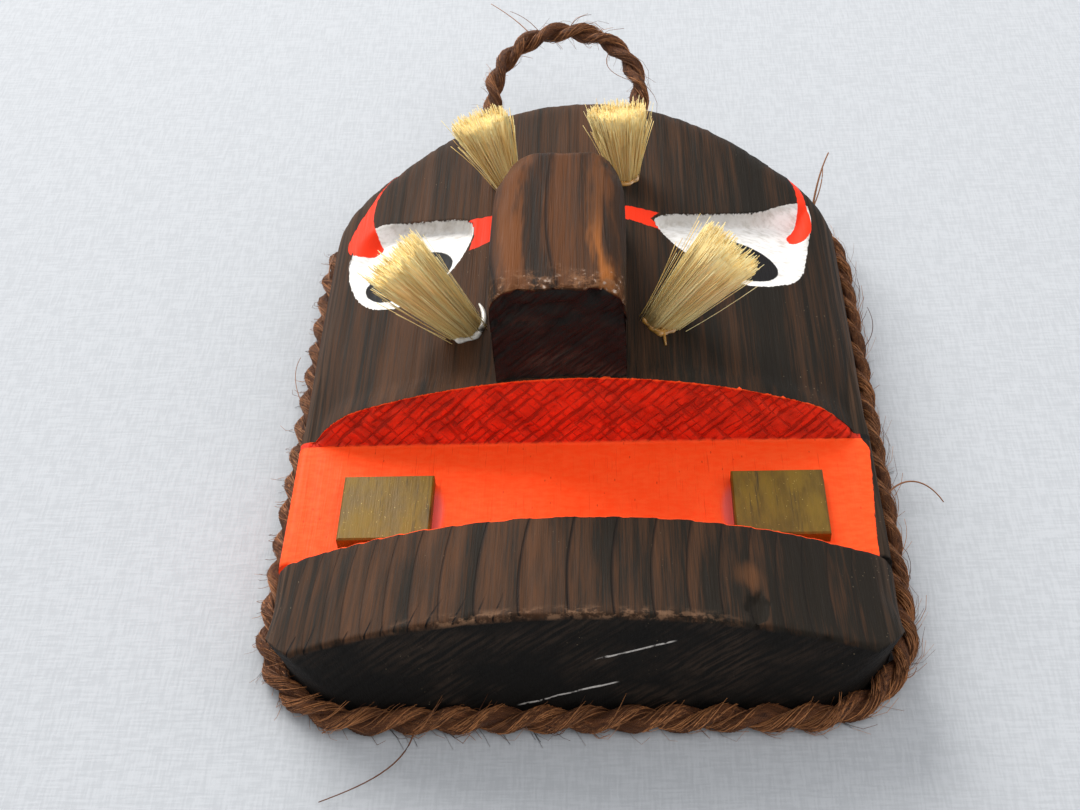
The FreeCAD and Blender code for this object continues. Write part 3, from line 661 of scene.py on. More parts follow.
class Sheet:
    """A closed skin made of rows of points that run round a block, all with the same columns."""

    def __init__(self, columns):
        self.columns = columns
        self.rows = []
        self.marks = []
        self.foot = self.crest = 0

    def add(self, up, out, sawn=0.0, rough=0.0):
        """One row: heights and distances out for every column, and how sawn and how rough it is."""
        self.rows.append(np.stack(np.broadcast_arrays(self.columns, up, out), axis=-1))
        self.marks.append((sawn, rough))

    def bridge(self, start, end, shares, *marks):
        """Straight rows between two lines, each given as (up, out)."""
        for share in shares:
            self.add(*(a + (b - a) * share for a, b in zip(start, end)), *marks)

    def climb(self, start, end, shares, depth):
        """Rows between two heights on the front, whose depth is a function of across and up."""
        for share in shares:
            up = start + (end - start) * share
            self.add(up, depth(self.columns, up))

    def points(self):
        """Every point, row by row."""
        return np.array(self.rows)

    def spread(self):
        """How sawn and how rough each point is."""
        return np.repeat(np.array(self.marks), len(self.columns), axis=0).T

    def side_wall(self, column):
        """Triangles across one side wall, from the front rows to the other rows at like heights. The
        front rows run from the foot to the crest, where the rows reach the back."""
        last = len(self.rows) - 1
        front = list(range(self.foot, self.crest + 1))
        behind = list(range(self.foot, -1, -1)) + list(range(last, self.crest - 1, -1))
        height = [row[column, 1] for row in self.rows]
        faces = []
        while len(front) > 1 or len(behind) > 1:
            rise_front = len(behind) == 1 or (len(front) > 1 and height[front[1]] <= height[behind[1]])
            side = front if rise_front else behind
            corners = (front[0], side[1], behind[0])
            side.pop(0)
            if len(set(corners)) == 3:
                faces.append(tuple(row * len(self.columns) + column for row in corners))
        return faces

    def faces(self):
        """The grid's faces, the join from the last row to the first and the two side walls."""
        rows, columns = len(self.rows), len(self.columns)
        last = (rows - 1) * columns
        faces = grid_faces(rows, columns)
        faces += [(last + c, last + c + 1, c + 1, c) for c in range(columns - 1)]
        faces += self.side_wall(0)
        return faces + [face[::-1] for face in self.side_wall(columns - 1)]


WALL_LEAN = 1.7
FACE_FOOT = MOUTH_TOP + WALL_LEAN
CHEEK_TOP = FACE_FOOT + 36.0
CHEEK_ROUNDING = 10.0


def front_depth(zone, across, up):
    """The front surface's distance out from the back, for one zone of rows."""
    up = up + 0 * across
    distance, slant = outline_distance(across, up)
    top_rounding = 8.0 + 8.0 * ramp(slant, 0.1, 0.9)
    apex = FACE_DEPTH + 1.9 * ramp(up, FACE_FOOT + 10, FACE_FOOT)
    face = apex - dome_fall(across) - round_off(distance, top_rounding)
    floor = np.minimum(MOUTH_FLOOR - round_off(distance, 3.0), face)
    if zone == "mouth":
        return floor
    if zone == "chin":
        near_lip = ramp(up, LIP_HEIGHT - 14, LIP_HEIGHT)
        rounding = (8.0 - 3.5 * near_lip) * (1 - 0.85 * ramp(-slant, 0.2, 0.95))
        rise = RIDGE_DEPTH + (LIP_DEPTH - RIDGE_DEPTH) * up / LIP_HEIGHT
        worn_lip = 0.8 * ramp(up, LIP_HEIGHT - 1.6, LIP_HEIGHT) ** 2
        return rise - worn_lip - dome_fall(across) - round_off(distance, rounding)
    near_mouth = ramp(up, CHEEK_TOP, FACE_FOOT)
    rounder = apex - dome_fall(across) - round_off(distance, top_rounding + CHEEK_ROUNDING * near_mouth)
    face = np.where(up < CHEEK_TOP, np.maximum(rounder, floor), face)
    return face - socket_depth(across, up)[0]


chin_depth, mouth_depth, face_depth = (partial(front_depth, zone) for zone in ("chin", "mouth", "face"))
BAND_TOP = 166.0
BOARD_SPACING = 0.66
FRONT_FROM = 20.0
OUTER_FROM = 8.0
SAW_MARKS = (41, 135)


def board_columns():
    """Places across the plank, closer together over the rounded sides."""
    edge_band = 12.0
    near = edge_band * (1 - np.cos(np.linspace(0, math.pi / 2, 20)))
    inner = HALF_WIDTH - edge_band
    middle = np.linspace(-inner, inner, int(2 * inner / BOARD_SPACING))
    return np.concatenate([near - HALF_WIDTH, middle[1:-1], (HALF_WIDTH - near)[::-1]])


def outline_top(across):
    """The outline's height at a place across."""
    x = np.abs(across)
    crown = CROWN_CENTRE + np.sqrt(np.maximum(CROWN_RADIUS**2 - x**2, 0))
    over = np.clip(x - SHOULDER_X, 0, SHOULDER_RADIUS)
    shoulder = SHOULDER_Z + np.sqrt(SHOULDER_RADIUS**2 - over**2)
    return np.where(x < CROWN_END, crown, shoulder)


def outline_bottom(across, out):
    """The chin's bottom edge, which rises round the corners, at a distance out from the back."""
    over = np.clip(np.abs(across) - CORNER_X, 0, CORNER_RADIUS)
    return np.maximum(CORNER_RADIUS - np.sqrt(corner_radius(out) ** 2 - over**2), 0)


def board_sheet():
    """The plank's rows: up the back's foot, the chin's bottom, the chin, the mouth's walls and floor,
    the face, and back over the top edge. The mouth's upper wall is the one the saw left rough."""
    across = board_columns()
    sheet = Sheet(across)
    high = outline_top(across)
    low = outline_bottom(across, chin_depth(across, outline_bottom(across, RIDGE_DEPTH)))
    ridge = chin_depth(across, low)
    for share in np.linspace(0, 1, 36)[:-1]:
        sheet.add(outline_bottom(across, ridge * share), ridge * share, 1.0)
    sheet.foot = len(sheet.rows)
    sheet.climb(low, LIP_HEIGHT, np.linspace(0, 1, 48) ** 1.3, chin_depth)
    lip, floor = chin_depth(across, LIP_HEIGHT), mouth_depth(across, LIP_HEIGHT)
    sheet.bridge((LIP_HEIGHT, lip), (LIP_HEIGHT, floor), np.linspace(0, 1, 13)[1:], 1.0)
    sheet.climb(LIP_HEIGHT, MOUTH_TOP, np.linspace(0, 1, 44)[1:], mouth_depth)
    floor, edge = mouth_depth(across, MOUTH_TOP), face_depth(across, FACE_FOOT)
    sheet.bridge((MOUTH_TOP, floor), (FACE_FOOT, edge), np.linspace(0, 1, 30)[1:-1], 1.0, 1.0)
    steps = [FACE_FOOT + step for step in (0, 0.3, 0.8, 1.5, 2.4)]
    heights = np.array([*steps, *np.linspace(FACE_FOOT + 3.5, 112, 29), *np.linspace(112.6, BAND_TOP, 88)])
    band_top = np.where(high > 180, BAND_TOP, FACE_FOOT + (high - FACE_FOOT) * 0.8)
    sheet.climb(FACE_FOOT, band_top, (heights - FACE_FOOT) / (BAND_TOP - FACE_FOOT), face_depth)
    sheet.climb(band_top, high, np.sin(np.linspace(0, math.pi / 2, 46))[1:], face_depth)
    sheet.bridge((high, face_depth(across, high)), (high, 0.0), np.linspace(0, 1, 22)[1:], 1.0)
    sheet.crest = len(sheet.rows) - 1
    sheet.bridge((high, 0.0), (low, 0.0), np.linspace(0, 1, 16)[1:-1])
    return sheet


KNOT = (39.6, 5.5)


def build_board():
    """The plank's skin, scored where it is sawn, brushed along its grain elsewhere, with its paint."""
    sheet = board_sheet()
    points = sheet.points()
    flat = points.reshape(-1, 3)
    across, up, out = flat.T
    sawn, rough = sheet.spread()
    at_end = np.abs(across) > HALF_WIDTH - HAIR
    sawn = np.where(at_end & (up > LIP_HEIGHT - 1) & (up < FACE_FOOT + 1), 0.0, sawn)
    facing = surface_normals(points)
    ring = board_ring(flat)
    outer = out > OUTER_FROM
    on_chin = ramp(up, LIP_HEIGHT + 5, LIP_HEIGHT) * outer
    lines = 0.2 + on_chin * (0.25 + 0.5 * np.exp(-(((across + 5) / 38) ** 2)))
    scores, crossing = (saw_scores(flat, angle, seed) for angle, seed in zip(SAW_MARKS, (21, 22)))
    groove = np.maximum(scores, 0.75 * crossing * rough) * sawn
    inside = socket_depth(across, up)[1]
    in_mouth = (np.abs(out - MOUTH_FLOOR) < 0.6) & (sawn < 0.5)
    smooth = np.maximum(ramp(inside, -0.3, 0.3), in_mouth)
    fall = brushed(flat, ring, lines) * (1 - 0.75 * smooth)
    fall = np.where(sawn > 0.5, (0.25 + 0.3 * rough) * groove, fall)
    knot_reach = np.hypot((across - KNOT[0]) / 2.6, (up - KNOT[1]) / 6.0)
    knot_reach = knot_reach + 0.6 * noise(flat, (1.4, 2.4, 2.4), 36)
    planed = sawn < 0.5
    on_front = (out > FRONT_FROM) & planed
    knot = ramp(knot_reach, 1.0, 0.55) * on_front
    near_ridge = ramp(up, 9, 1.5) * on_front
    nicks = np.clip(noise(flat, (2.4, 5, 3), 33) - 0.15, 0, 1) * ramp(up, 2.6, 0.4) * near_ridge
    fall = fall + 1.1 * knot + 1.3 * nicks
    at_back = out < TINY
    fall = np.where(at_back & planed, 0.12 + 0.12 * noise(flat, (1.6, 70, 6), 31), fall)
    fall = np.where(at_back, np.maximum(fall, 0), fall)
    moved = flat - facing * fall[:, None]

    glow_reach = np.hypot((across - KNOT[0] + 1) / 4.0, (up - KNOT[1] - 9) / 6.0)
    glow_reach = glow_reach + 0.4 * noise(flat, (1.2, 9, 3), 35)
    values = {
        "ring": ring,
        "lines": lines,
        # Darker towards the plank's right side: painted shade. The knot's darkening is its char, and the
        # chin is a little darker.
        "burn": 0.5 * ramp(across, -12, 62) + 1.6 * knot + 0.1 * on_chin,
        "crack": (across - 0.32 * up + 2.0 * noise(flat, (12, 30, 30), 34) + 90) / 4.4,
        "ridge": near_ridge * ramp(across, 10, -18),
        "glow": 0.3 * ramp(glow_reach, 1.0, 0.2) * on_front,
        "sawn": sawn,
        "rough": rough,
        "groove": groove,
        "wear": 0.7 * ramp(up, 3.4, 0.3) * near_ridge * ramp(np.abs(across + 4), 44, 26),
        # Painted highlight along the rounded sides.
        "rub": 0.6 * ramp(HALF_WIDTH - np.abs(across), 8, 1) * planed * outer,
        **paint_distances(flat, sawn, rough, inside),
    }
    return new_object("board_wood", moved, sheet.faces(), board_material(), values)


def paint_distances(flat, sawn, rough, inside):
    """How far inside each paint's outline every point lies, in millimetres."""
    across, up, out = flat.T
    far = -9.0
    on_face = (out > 10) & (sawn < 0.5) & (up > FACE_FOOT)
    white = np.where(on_face, inside, far)
    black = np.maximum(*(ellipse_distance(across, up, *pupil) for pupil in PUPILS))
    black = np.where(on_face, np.minimum(black, inside - 1.0), far)
    red = np.max([inside_distance(across, up, outline) for outline in RED_OUTLINES], axis=0)
    red = np.where(on_face, red, far)
    red = np.where((inside > 0.3) & (np.abs(across) < 50), far, red)
    in_mouth = (up > LIP_HEIGHT - HAIR) & (up < FACE_FOOT - HAIR) & (out > OUTER_FROM)
    right_end = 72.6 + 2.2 * ramp(up, LIP_HEIGHT, MOUTH_TOP) - 1.6 * ramp(up, MOUTH_TOP - 3, MOUTH_TOP)
    right_end = np.where(rough > 0.5, 72.9, right_end)
    mouth = np.where(in_mouth, right_end - across, far)
    red = np.maximum(red, np.clip(mouth, far, 4.0))
    brink = np.maximum(up - FACE_FOOT, LIP_HEIGHT - up)
    slits = 2.4 * ramp(noise(flat, (0.9, 50, 50), 41), 0.35, 0.75) * ramp(np.abs(across - 25), 40, 20)
    bleed = 0.12 + slits - brink
    on_brink = (brink >= 0) & (brink < 3.2) & (sawn < 0.5) & (out > 12) & (across < 66)
    red = np.where(on_brink, np.maximum(red, bleed), red)
    steep = ramp(inside, 2.0, 0.2) * ramp(up, SOCKET_FOOT + 24, SOCKET_FOOT + 31)
    # Painted shade on the white under the steep brow wall, partly the thin paint on rough end grain there.
    shade = np.where(on_face & (inside > -0.5), 0.45 * steep, 0)
    stain = np.zeros(len(flat))
    for side in (-1, 1):
        near = np.hypot((across - side * TOOTH_INNER) / 3.4, (up - TOOTH_MIDDLE) / 10)
        stain = np.maximum(stain, ramp(near, 1.0, 0.5))
    stain = np.where(np.abs(out - MOUTH_FLOOR) < 1, stain, 0)
    return {"white": white, "black": black, "red": red, "shade": shade, "stain": 0.8 * stain}


settle(build_board(), "charred_cedar", "face_board")


# ---------------------------------------------------------------- nose

NOSE_RING = 14.5
NOSE_CORNER = 9.5
NOSE_TIP = NOSE_HIGH[2] + 0.6
NOSE_BROW = NOSE_HIGH[2] - 4.0
NOSE_SUNK = 1.0
NOSE_RISE = 2.6


def nose_depth(x, up):
    """The nose's front: it leans back going up, and its edges roll back most at the brow."""
    up = up + 0 * x
    lean = NOSE_TIP + (NOSE_BROW - NOSE_TIP) * up / (NOSE_HEIGHT - 12.0)
    corner_x, corner_up = NOSE_HALF - NOSE_CORNER, NOSE_HEIGHT - NOSE_CORNER
    in_corner = (np.abs(x) > corner_x) & (up > corner_up)
    corner_reach = np.hypot(np.abs(x) - corner_x, up - corner_up)
    distance = np.minimum(NOSE_HALF - np.abs(x), NOSE_HEIGHT - up)
    distance = np.where(in_corner, NOSE_CORNER - corner_reach, distance)
    rounding = 5.0 + 9.5 * ramp(up, NOSE_HEIGHT - 26, NOSE_HEIGHT - 5) + 2.5 * ramp(up, 7, 0)
    worn = 0.5 * ramp(up, 1.4, 0.0) ** 2
    return lean - round_off(np.maximum(distance, 0), rounding) - worn


def build_nose():
    """The block as a front sheet with walls: slightly swollen sides, round top corners, a brow that
    rolls back and a sharp, chipped lower edge."""
    even = np.linspace(-1, 1, 56)
    columns = NOSE_HALF * (0.45 * np.sin(even * math.pi / 2) + 0.55 * even)
    over = np.clip(np.abs(columns) - (NOSE_HALF - NOSE_CORNER), 0, NOSE_CORNER)
    top = NOSE_HEIGHT - (NOSE_CORNER - np.sqrt(NOSE_CORNER**2 - over**2))
    seat = dome(columns + NOSE_CENTRE) - NOSE_SUNK
    sheet = Sheet(columns)
    foot, crest = nose_depth(columns, 0.0), nose_depth(columns, top)
    sheet.bridge((NOSE_RISE, seat), (0.0, foot), np.linspace(0, 1, 40)[:-1], 1.0)
    sheet.foot = len(sheet.rows)
    sheet.climb(0.0, top, np.linspace(0, 1, 104) ** 1.1, nose_depth)
    sheet.bridge((top, crest), (top, seat), np.linspace(0, 1, 26)[1:])
    sheet.crest = len(sheet.rows) - 1
    sheet.bridge((top, seat), (NOSE_RISE, seat), np.linspace(0, 1, 6)[1:-1])
    points = sheet.points()
    points[..., 0] *= 1 + 0.05 * np.sin(math.pi * np.clip(points[..., 1] / (NOSE_HEIGHT * 0.92), 0, 1))
    flat = points.reshape(-1, 3)
    across, up, out = flat.T
    sawn = sheet.spread()[0]
    facing = surface_normals(points)
    bow = 3.0 * (up / (0.55 * NOSE_HEIGHT) - 1) ** 2
    wander = 0.5 * noise(flat, (30, 25, 40), 51)
    ring = (across + 2.8 - bow + wander) / NOSE_RING
    fall = brushed(flat, ring, 1.0, 5)
    scores, crossing = (saw_scores(flat, angle, seed) for angle, seed in zip(SAW_MARKS, (52, 54)))
    fall = np.where(sawn > 0.5, 0.55 * np.maximum(scores, 0.5 * crossing), fall)
    chips = ramp(up, 3.6, 0.0) * (out > 60) * np.clip(noise(flat, (3.0, 3.2, 3.0), 53) + 0.1, 0, 1)
    moved = flat - facing * (fall + 1.7 * chips)[:, None]
    moved[:, 0] = 1.02 * moved[:, 0] + NOSE_CENTRE - 0.3
    moved[:, 1] += NOSE_LOW[1]
    on_front = (out > 55) & (sawn < 0.5)
    values = {
        "ring": ring,
        "lines": np.full(len(flat), 0.8),
        "burn": np.zeros(len(flat)),
        "low": ramp(up, 40, 8),
        "sawn": sawn,
        "wear": ramp(up + 3.0 * noise(flat, (3, 3, 3), 55), 10.0, 1.0) * on_front,
    }
    return new_object("nose_wood", moved, sheet.faces(), nose_material(), values)


settle(build_nose(), "brown_cedar", "nose_block")


# ---------------------------------------------------------------- teeth and small hidden parts


def gold_material():
    """Brushed-on gold paint over wood: dull olive gold, with a few flecks and dark scratches."""
    nodes = Nodes("gold_paint")
    coat = nodes.noise((260, 260, 90), 4, 0.6)
    scratch = nodes.noise((1000, 1000, 55), 3, 0.7)
    dark = scratch.span(0.55, 0.66) * nodes.noise((60, 60, 30), 2).span(0.42, 0.6)
    bright = nodes.cells(1900).span(0.15, 0.25, 1.0, 0.0) * nodes.noise(700, 2).span(0.58, 0.64)
    colour = nodes.mix(coat.span(0.3, 0.7), (88, 66, 10), (114, 88, 18))
    colour = nodes.layers(colour, (dark * 0.75, (48, 38, 20)), (bright * 0.7, (206, 180, 104)))
    roughness = coat.span(0.2, 0.8, 0.42, 0.6)
    normal = nodes.bump(scratch * 0.6 + coat, 0.18 * MM, 0.8)
    return nodes.finish(colour, roughness, normal, Metallic=0.2, Specular_IOR_Level=0.3)


def plain_wood_material():
    """Bare dowel wood with fine lengthwise grain."""
    nodes = Nodes("dowel_wood")
    grain = nodes.noise((900, 60, 900), 4, 0.6)
    colour = nodes.mix(grain.span(0.3, 0.7), (150, 112, 70), (196, 160, 112))
    return nodes.finish(colour, 0.65, nodes.bump(grain, 0.1 * MM, 0.6))


def steel_material():
    """Dull brad steel with a little tarnish."""
    nodes = Nodes("brad_steel")
    tarnish = nodes.noise(600)
    colour = nodes.mix(tarnish.span(0.4, 0.7), (150, 148, 142), (96, 84, 70))
    roughness = tarnish.span(0.3, 0.7, 0.3, 0.6)
    return nodes.finish(colour, roughness, nodes.bump(tarnish, 0.05 * MM, 0.5), Metallic=0.9)


def dress(material, *nodes):
    """Gives CAD nodes that stay in view their material."""
    for node in nodes:
        mesh = frame["nodes"][node].data
        mesh.materials.clear()
        mesh.materials.append(material)


dress(gold_material(), "tooth_left", "tooth_right")
dress(plain_wood_material(), "nose_dowels")
dress(steel_material(), "loop_brads")


# ---------------------------------------------------------------- fibres


def fibre_tubes(paths, radii, sides=3):
    """Thin tubes along many paths: paths is (fibres, points, 3) and radii (fibres, points), in mm.
    Returns vertices, faces, and each vertex's share of the way along and its fibre's tint."""
    count, length = paths.shape[:2]
    along = unit(np.gradient(paths, axis=1))
    helper = np.where(np.abs(along[..., 1:2]) < 0.9, np.array([0.0, 1.0, 0.0]), np.array([1.0, 0, 0]))
    first = unit(np.cross(along, helper))
    second = np.cross(along, first)
    ring = rotate(round_turn(sides), first[..., None, :], second[..., None, :])
    points = paths[..., None, :] + ring * radii[..., None, None]
    faces = [face for n in range(count) for face in tube_faces(length, sides, n * length * sides)]
    shape = (count, length, sides)
    share = np.broadcast_to(np.linspace(0, 1, length)[None, :, None], shape)
    tint = np.broadcast_to(np.random.default_rng(count).random(count)[:, None, None], shape)
    return points.reshape(-1, 3), faces, share.reshape(-1), tint.reshape(-1)


def straw_material():
    """Dry plant fibre: pale straw gold, varied from fibre to fibre, browner at the root."""
    nodes = Nodes("straw_fibre")
    tint, fleck = nodes.attribute("tint"), nodes.noise(1200)
    colour = nodes.layers(
        nodes.mix(tint, (252, 216, 134), (255, 246, 192)),
        (tint.span(0.0, 0.1, 0.5, 0.0), (170, 122, 66)),
        (nodes.attribute("along").span(0.0, 0.4, 0.3, 0.0), (224, 172, 92)),
        (fleck.span(0.3, 0.7, 0.0, 0.25), (248, 214, 134)),
    )
    return nodes.finish(colour, 0.5, nodes.bump(fleck, 0.05 * MM, 0.4), Specular_IOR_Level=0.3)


# Each tuft's side of the nose, and how far it leans outwards and upwards in degrees.
TUFT_LEAN = {
    "whisker_tuft_left": (-1, 38.0, 5.0),
    "whisker_tuft_right": (1, 38.0, 5.0),
    "brow_tuft_left": (-1, 18.0, 5.0),
    "brow_tuft_right": (1, -5.0, 5.0),
}
# Height, distance from the nose's middle, length, then half sizes at the root and at the end.
TUFT_SIZES = {
    "whisker": (98.3, 25.8, 28.5, (3.8, 2.9), (8.6, 5.2)),
    "brow": (161.0, 17.4, 21.8, (2.9, 2.7), (8.2, 4.6)),
}
TUFT_TURN = 28.0
TUFT_SUNK = -3.0
CORE_SIDES = 30
CORE_TINT = 0.3
STRAY_SHARE = 0.05


def tuft_sizes(name):
    """The row of TUFT_SIZES for a tuft's kind."""
    return TUFT_SIZES[name.split("_")[0]]


def tuft_axes(name):
    """A tuft's root, its direction and the two directions across it, wide one first."""
    height, spread = tuft_sizes(name)[:2]
    side, *lean = TUFT_LEAN[name]
    outwards, upwards = np.radians(lean)
    across = NOSE_CENTRE + side * spread
    root = np.array([across, height, dome(across)])
    level = math.cos(upwards)
    ahead = np.array([side * math.sin(outwards) * level, math.sin(upwards), math.cos(outwards) * level])
    wide = unit(np.cross([0.0, 1.0, 0.0], ahead))
    turn = math.radians(-TUFT_TURN * side if name.startswith("whisker") else 0)
    turned = rotate(turn, wide, np.cross(ahead, wide))
    return root, ahead, turned, np.cross(ahead, turned)


def tuft_paths(name, disc, lengths, bend, steps):
    """Fibre paths from places on a unit disc, tight at the root and fanning to the tuft's end."""
    root, ahead, *directions = tuft_axes(name)
    root_half, end_half = tuft_sizes(name)[3:]
    out = TUFT_SUNK + (lengths[:, None] - TUFT_SUNK) * steps
    paths = root + out[..., None] * ahead
    for axis, direction in enumerate(directions):
        half = root_half[axis] + (end_half[axis] - root_half[axis]) * steps**1.2
        offset = disc[:, axis : axis + 1] * half + bend[:, axis : axis + 1] * np.sin(math.pi * steps)
        paths = paths + offset[..., None] * direction
    return paths


def build_tuft(name, material, seed):
    """A dense bundle: fine fibres round and through a closed core, cut square where they fan."""
    rng = np.random.default_rng(seed)
    length = tuft_sizes(name)[2]
    count = 1000
    steps = np.linspace(0, 1, 6)
    angle = rng.random(count) * 2 * math.pi
    on_shell = rng.random(count) < 0.62
    reach = np.where(on_shell, rng.uniform(0.93, 1.02, count), np.sqrt(rng.random(count)))
    strays = rng.random(count) < STRAY_SHARE
    reach[strays] *= rng.uniform(1.1, 1.45, strays.sum())
    reach *= 1 + 0.05 * np.sin(angle * 7 + seed)
    lengths = length * (1 + 0.045 * rng.standard_normal(count))
    lengths[strays] *= rng.uniform(0.7, 1.1, strays.sum())
    disc = reach[:, None] * rotate(angle, *np.eye(2))
    paths = tuft_paths(name, disc, lengths, 0.35 * rng.standard_normal((count, 2)), steps)
    radii = rng.uniform(0.08, 0.15, count)[:, None] * np.linspace(1.0, 0.85, len(steps))
    vertices, faces, along, tint = fibre_tubes(paths, radii)

    ends = np.full(CORE_SIDES, 0.955 * length)
    disc = 0.95 * rotate(round_turn(CORE_SIDES), *np.eye(2))
    core = tuft_paths(name, disc, ends, np.zeros((CORE_SIDES, 2)), steps)
    faces += tube_faces(len(steps), CORE_SIDES, len(vertices))
    vertices = np.concatenate([vertices, core.transpose(1, 0, 2).reshape(-1, 3)])
    values = {
        "along": np.concatenate([along, np.repeat(steps, CORE_SIDES)]),
        "tint": np.concatenate([tint, np.full(len(steps) * CORE_SIDES, CORE_TINT)]),
    }
    settle(new_object(name + "_fibres", vertices, faces, material, values), "straw_fibre", name)


straw = straw_material()
for number, tuft_name in enumerate(TUFT_LEAN):
    build_tuft(tuft_name, straw, 70 + number)


# ---------------------------------------------------------------- glue


def glue_material(name, colour, clear):
    """Dried glue: glossy, slightly see-through at thin edges."""
    nodes = Nodes(name)
    cloud = nodes.noise(500)
    tone = nodes.mix(cloud.span(0.3, 0.7), tuple(c * 0.82 for c in colour), colour)
    normal = nodes.bump(cloud, 0.15 * MM, 0.6)
    return nodes.finish(tone, 0.25, normal, Transmission_Weight=clear, Coat_Weight=0.3)


def glue_collar(name, tuft_name, material, seed):
    """A lumpy ring of glue squeezed out round a tuft's root."""
    root = tuft_axes(tuft_name)[0]
    root_half = tuft_sizes(tuft_name)[3][0]
    around, over = 40, 14
    a, b = np.meshgrid(round_turn(around), round_turn(over), indexing="ij")
    lump = noise(2 * rotate(a, *np.eye(2, 3)), 1.0, seed)
    thick = 0.9 + 0.4 * lump
    ring = root_half + 0.2 + 0.5 * lump + thick * np.cos(b)
    x, y = root[0] + ring * np.cos(a), root[1] + ring * np.sin(a)
    out = dome(x) + 0.75 * thick * np.sin(b)
    last = (around - 1) * over
    join = [(last + n, last + (n + 1) % over, (n + 1) % over, n) for n in range(over)]
    faces = grid_faces(around, over, wrap=True) + join
    points = np.stack([x, y, out], axis=-1).reshape(-1, 3)
    settle(new_object(name, points, faces, material), "dried_glue", "tuft_glue_beads")


def curve(points, count=16):
    """A smooth curve drawn towards a few points, through the first and the last."""
    share = np.linspace(0, 1, count)[:, None, None]
    level = np.broadcast_to(np.asarray(points, float), (count, len(points), 3))
    while level.shape[1] > 1:
        level = level[:, :-1] * (1 - share) + level[:, 1:] * share
    return level[:, 0]


def glue_run(name, tuft_name, steps, radii, material):
    """A string of glue lying on the face, through places given as (across, up) from a tuft's root and
    the height off the face."""
    root = tuft_axes(tuft_name)[0]
    places = np.array(steps) + [*root[:2], 0.0]
    places[:, 2] += dome(places[:, 0])
    path = curve(places)
    thickness = np.interp(np.linspace(0, 1, len(path)), np.linspace(0, 1, len(radii)), radii)
    vertices, faces, _, _ = fibre_tubes(path[None], thickness[None], 8)
    settle(new_object(name, vertices, faces, material), "dried_glue")


amber = glue_material("amber_glue", (206, 150, 70), 0.25)
white_glue = glue_material("white_glue", (232, 228, 218), 0.05)
for number, tuft_name in enumerate(TUFT_LEAN):
    glue = white_glue if tuft_name == "whisker_tuft_left" else amber
    glue_collar(tuft_name.replace("tuft", "glue"), tuft_name, glue, 80 + number)

STRING = [(2.5, -3.5, 0.4), (5.8, 2.0, 0.6), (3.8, 7.0, 0.4), (2.6, 9.5, 0.3)]
DRIP = [(0.4, -2.6, 0.3), (0.9, -6.0, 0.2), (1.1, -9.0, 0.1)]
glue_run("white_string", "whisker_tuft_left", STRING, (0.9, 0.8, 0.65, 0.25), white_glue)
glue_run("amber_drip", "whisker_tuft_right", DRIP, (0.8, 0.45, 0.3), amber)


# ---------------------------------------------------------------- rope

ROPE_PITCH = 21.0
STRAND_RADIUS = 1.75
STRAND_OFFSET = 1.45
STRAND_SIDES = 20
ROPE_GAP = ROPE_RADIUS - 0.35
WALL_GAP = 0.1


def rope_material():
    """Hairy palm fibre: red-brown, with golden streaks that are partly the fibres' own colour and partly
    painted highlight.
    """
    nodes = Nodes("palm_rope")
    along, around, tint = (nodes.attribute(name) for name in ("along", "around", "tint"))

    def fibres(per_length, per_turn, detail):
        """Noise drawn out along the strands."""
        inputs = {0: along * per_length, 1: around * per_turn, 2: tint}
        return nodes.noise(nodes.new("CombineXYZ", inputs).outputs[0], detail, 0.65, 0.3)

    coarse, fine = fibres(0.25, 12.0, 4), fibres(0.5, 42.0, 3)
    colour = nodes.layers(
        nodes.mix(coarse.span(0.32, 0.68), (44, 23, 13), (146, 88, 50)),
        # Golden streaks: partly the fibres' own colour, partly painted highlight.
        (fine.span(0.52, 0.68, 0.0, 0.8), (184, 124, 78)),
        (fine.span(0.3, 0.42, 0.7, 0.0), (32, 17, 10)),
        (nodes.noise(60).span(0.35, 0.7, 0.0, 0.35), (70, 38, 24)),
    )
    normal = nodes.bump(fine * 0.9 + coarse, 0.8 * MM)
    return nodes.finish(colour, 0.6, normal, Specular_IOR_Level=0.3)


def stray_material():
    """Loose palm fibres, from dark brown to gold."""
    nodes = Nodes("palm_fibre")
    colour = nodes.mix(nodes.attribute("tint"), (70, 38, 22), (206, 138, 84))
    fleck = nodes.noise(900)
    colour = nodes.mix(fleck.span(0.3, 0.7, 0.0, 0.35), colour, (96, 56, 32))
    return nodes.finish(colour, 0.5, nodes.bump(fleck, 0.05 * MM, 0.4), Specular_IOR_Level=0.35)


def sample(places, marks, values):
    """Three-part values between the marks they are given at."""
    return np.stack([np.interp(places, marks, values[:, n]) for n in range(3)], axis=-1)


def rope_frames(path, reference, spacing):
    """A path's points at an even spacing, the length along it at each, and the two directions across
    it, for a path that bends about one reference direction."""
    length = np.concatenate([[0], np.cumsum(np.linalg.norm(np.diff(path, axis=0), axis=1))])
    marks = np.linspace(0, length[-1], max(int(length[-1] / spacing), 8))
    centre = sample(marks, length, path)
    tangent = unit(np.gradient(centre, axis=0))
    side = unit(np.cross(tangent, reference))
    return centre, marks, side, np.cross(side, tangent)


def strand(centre, marks, side, up, twist, seed):
    """One strand of the rope: a bundle whose surface is ridged by its yarns."""
    around = round_turn(STRAND_SIDES)
    middle = centre + STRAND_OFFSET * rotate(twist, side, up)
    yarn = 1.6 * twist[:, None] + around
    place = np.stack(np.broadcast_arrays(marks[:, None] / 5.0, np.cos(around), np.sin(around)), axis=-1)
    ridges = 0.10 * np.cos(7 * yarn - 2.0 * twist[:, None]) + 0.12 * noise(place, 1.0, seed)
    radius = STRAND_RADIUS * (1 + ridges)
    ring = rotate(twist[:, None] + around, side[:, None], up[:, None])
    values = {
        "along": np.repeat(marks, STRAND_SIDES),
        "around": (0.5 * np.cos(yarn) + 0.5 * np.sin(2 * yarn)).reshape(-1),
        "tint": np.full(yarn.size, float(seed)),
    }
    return (middle[:, None] + ring * radius[..., None]).reshape(-1, 3), values


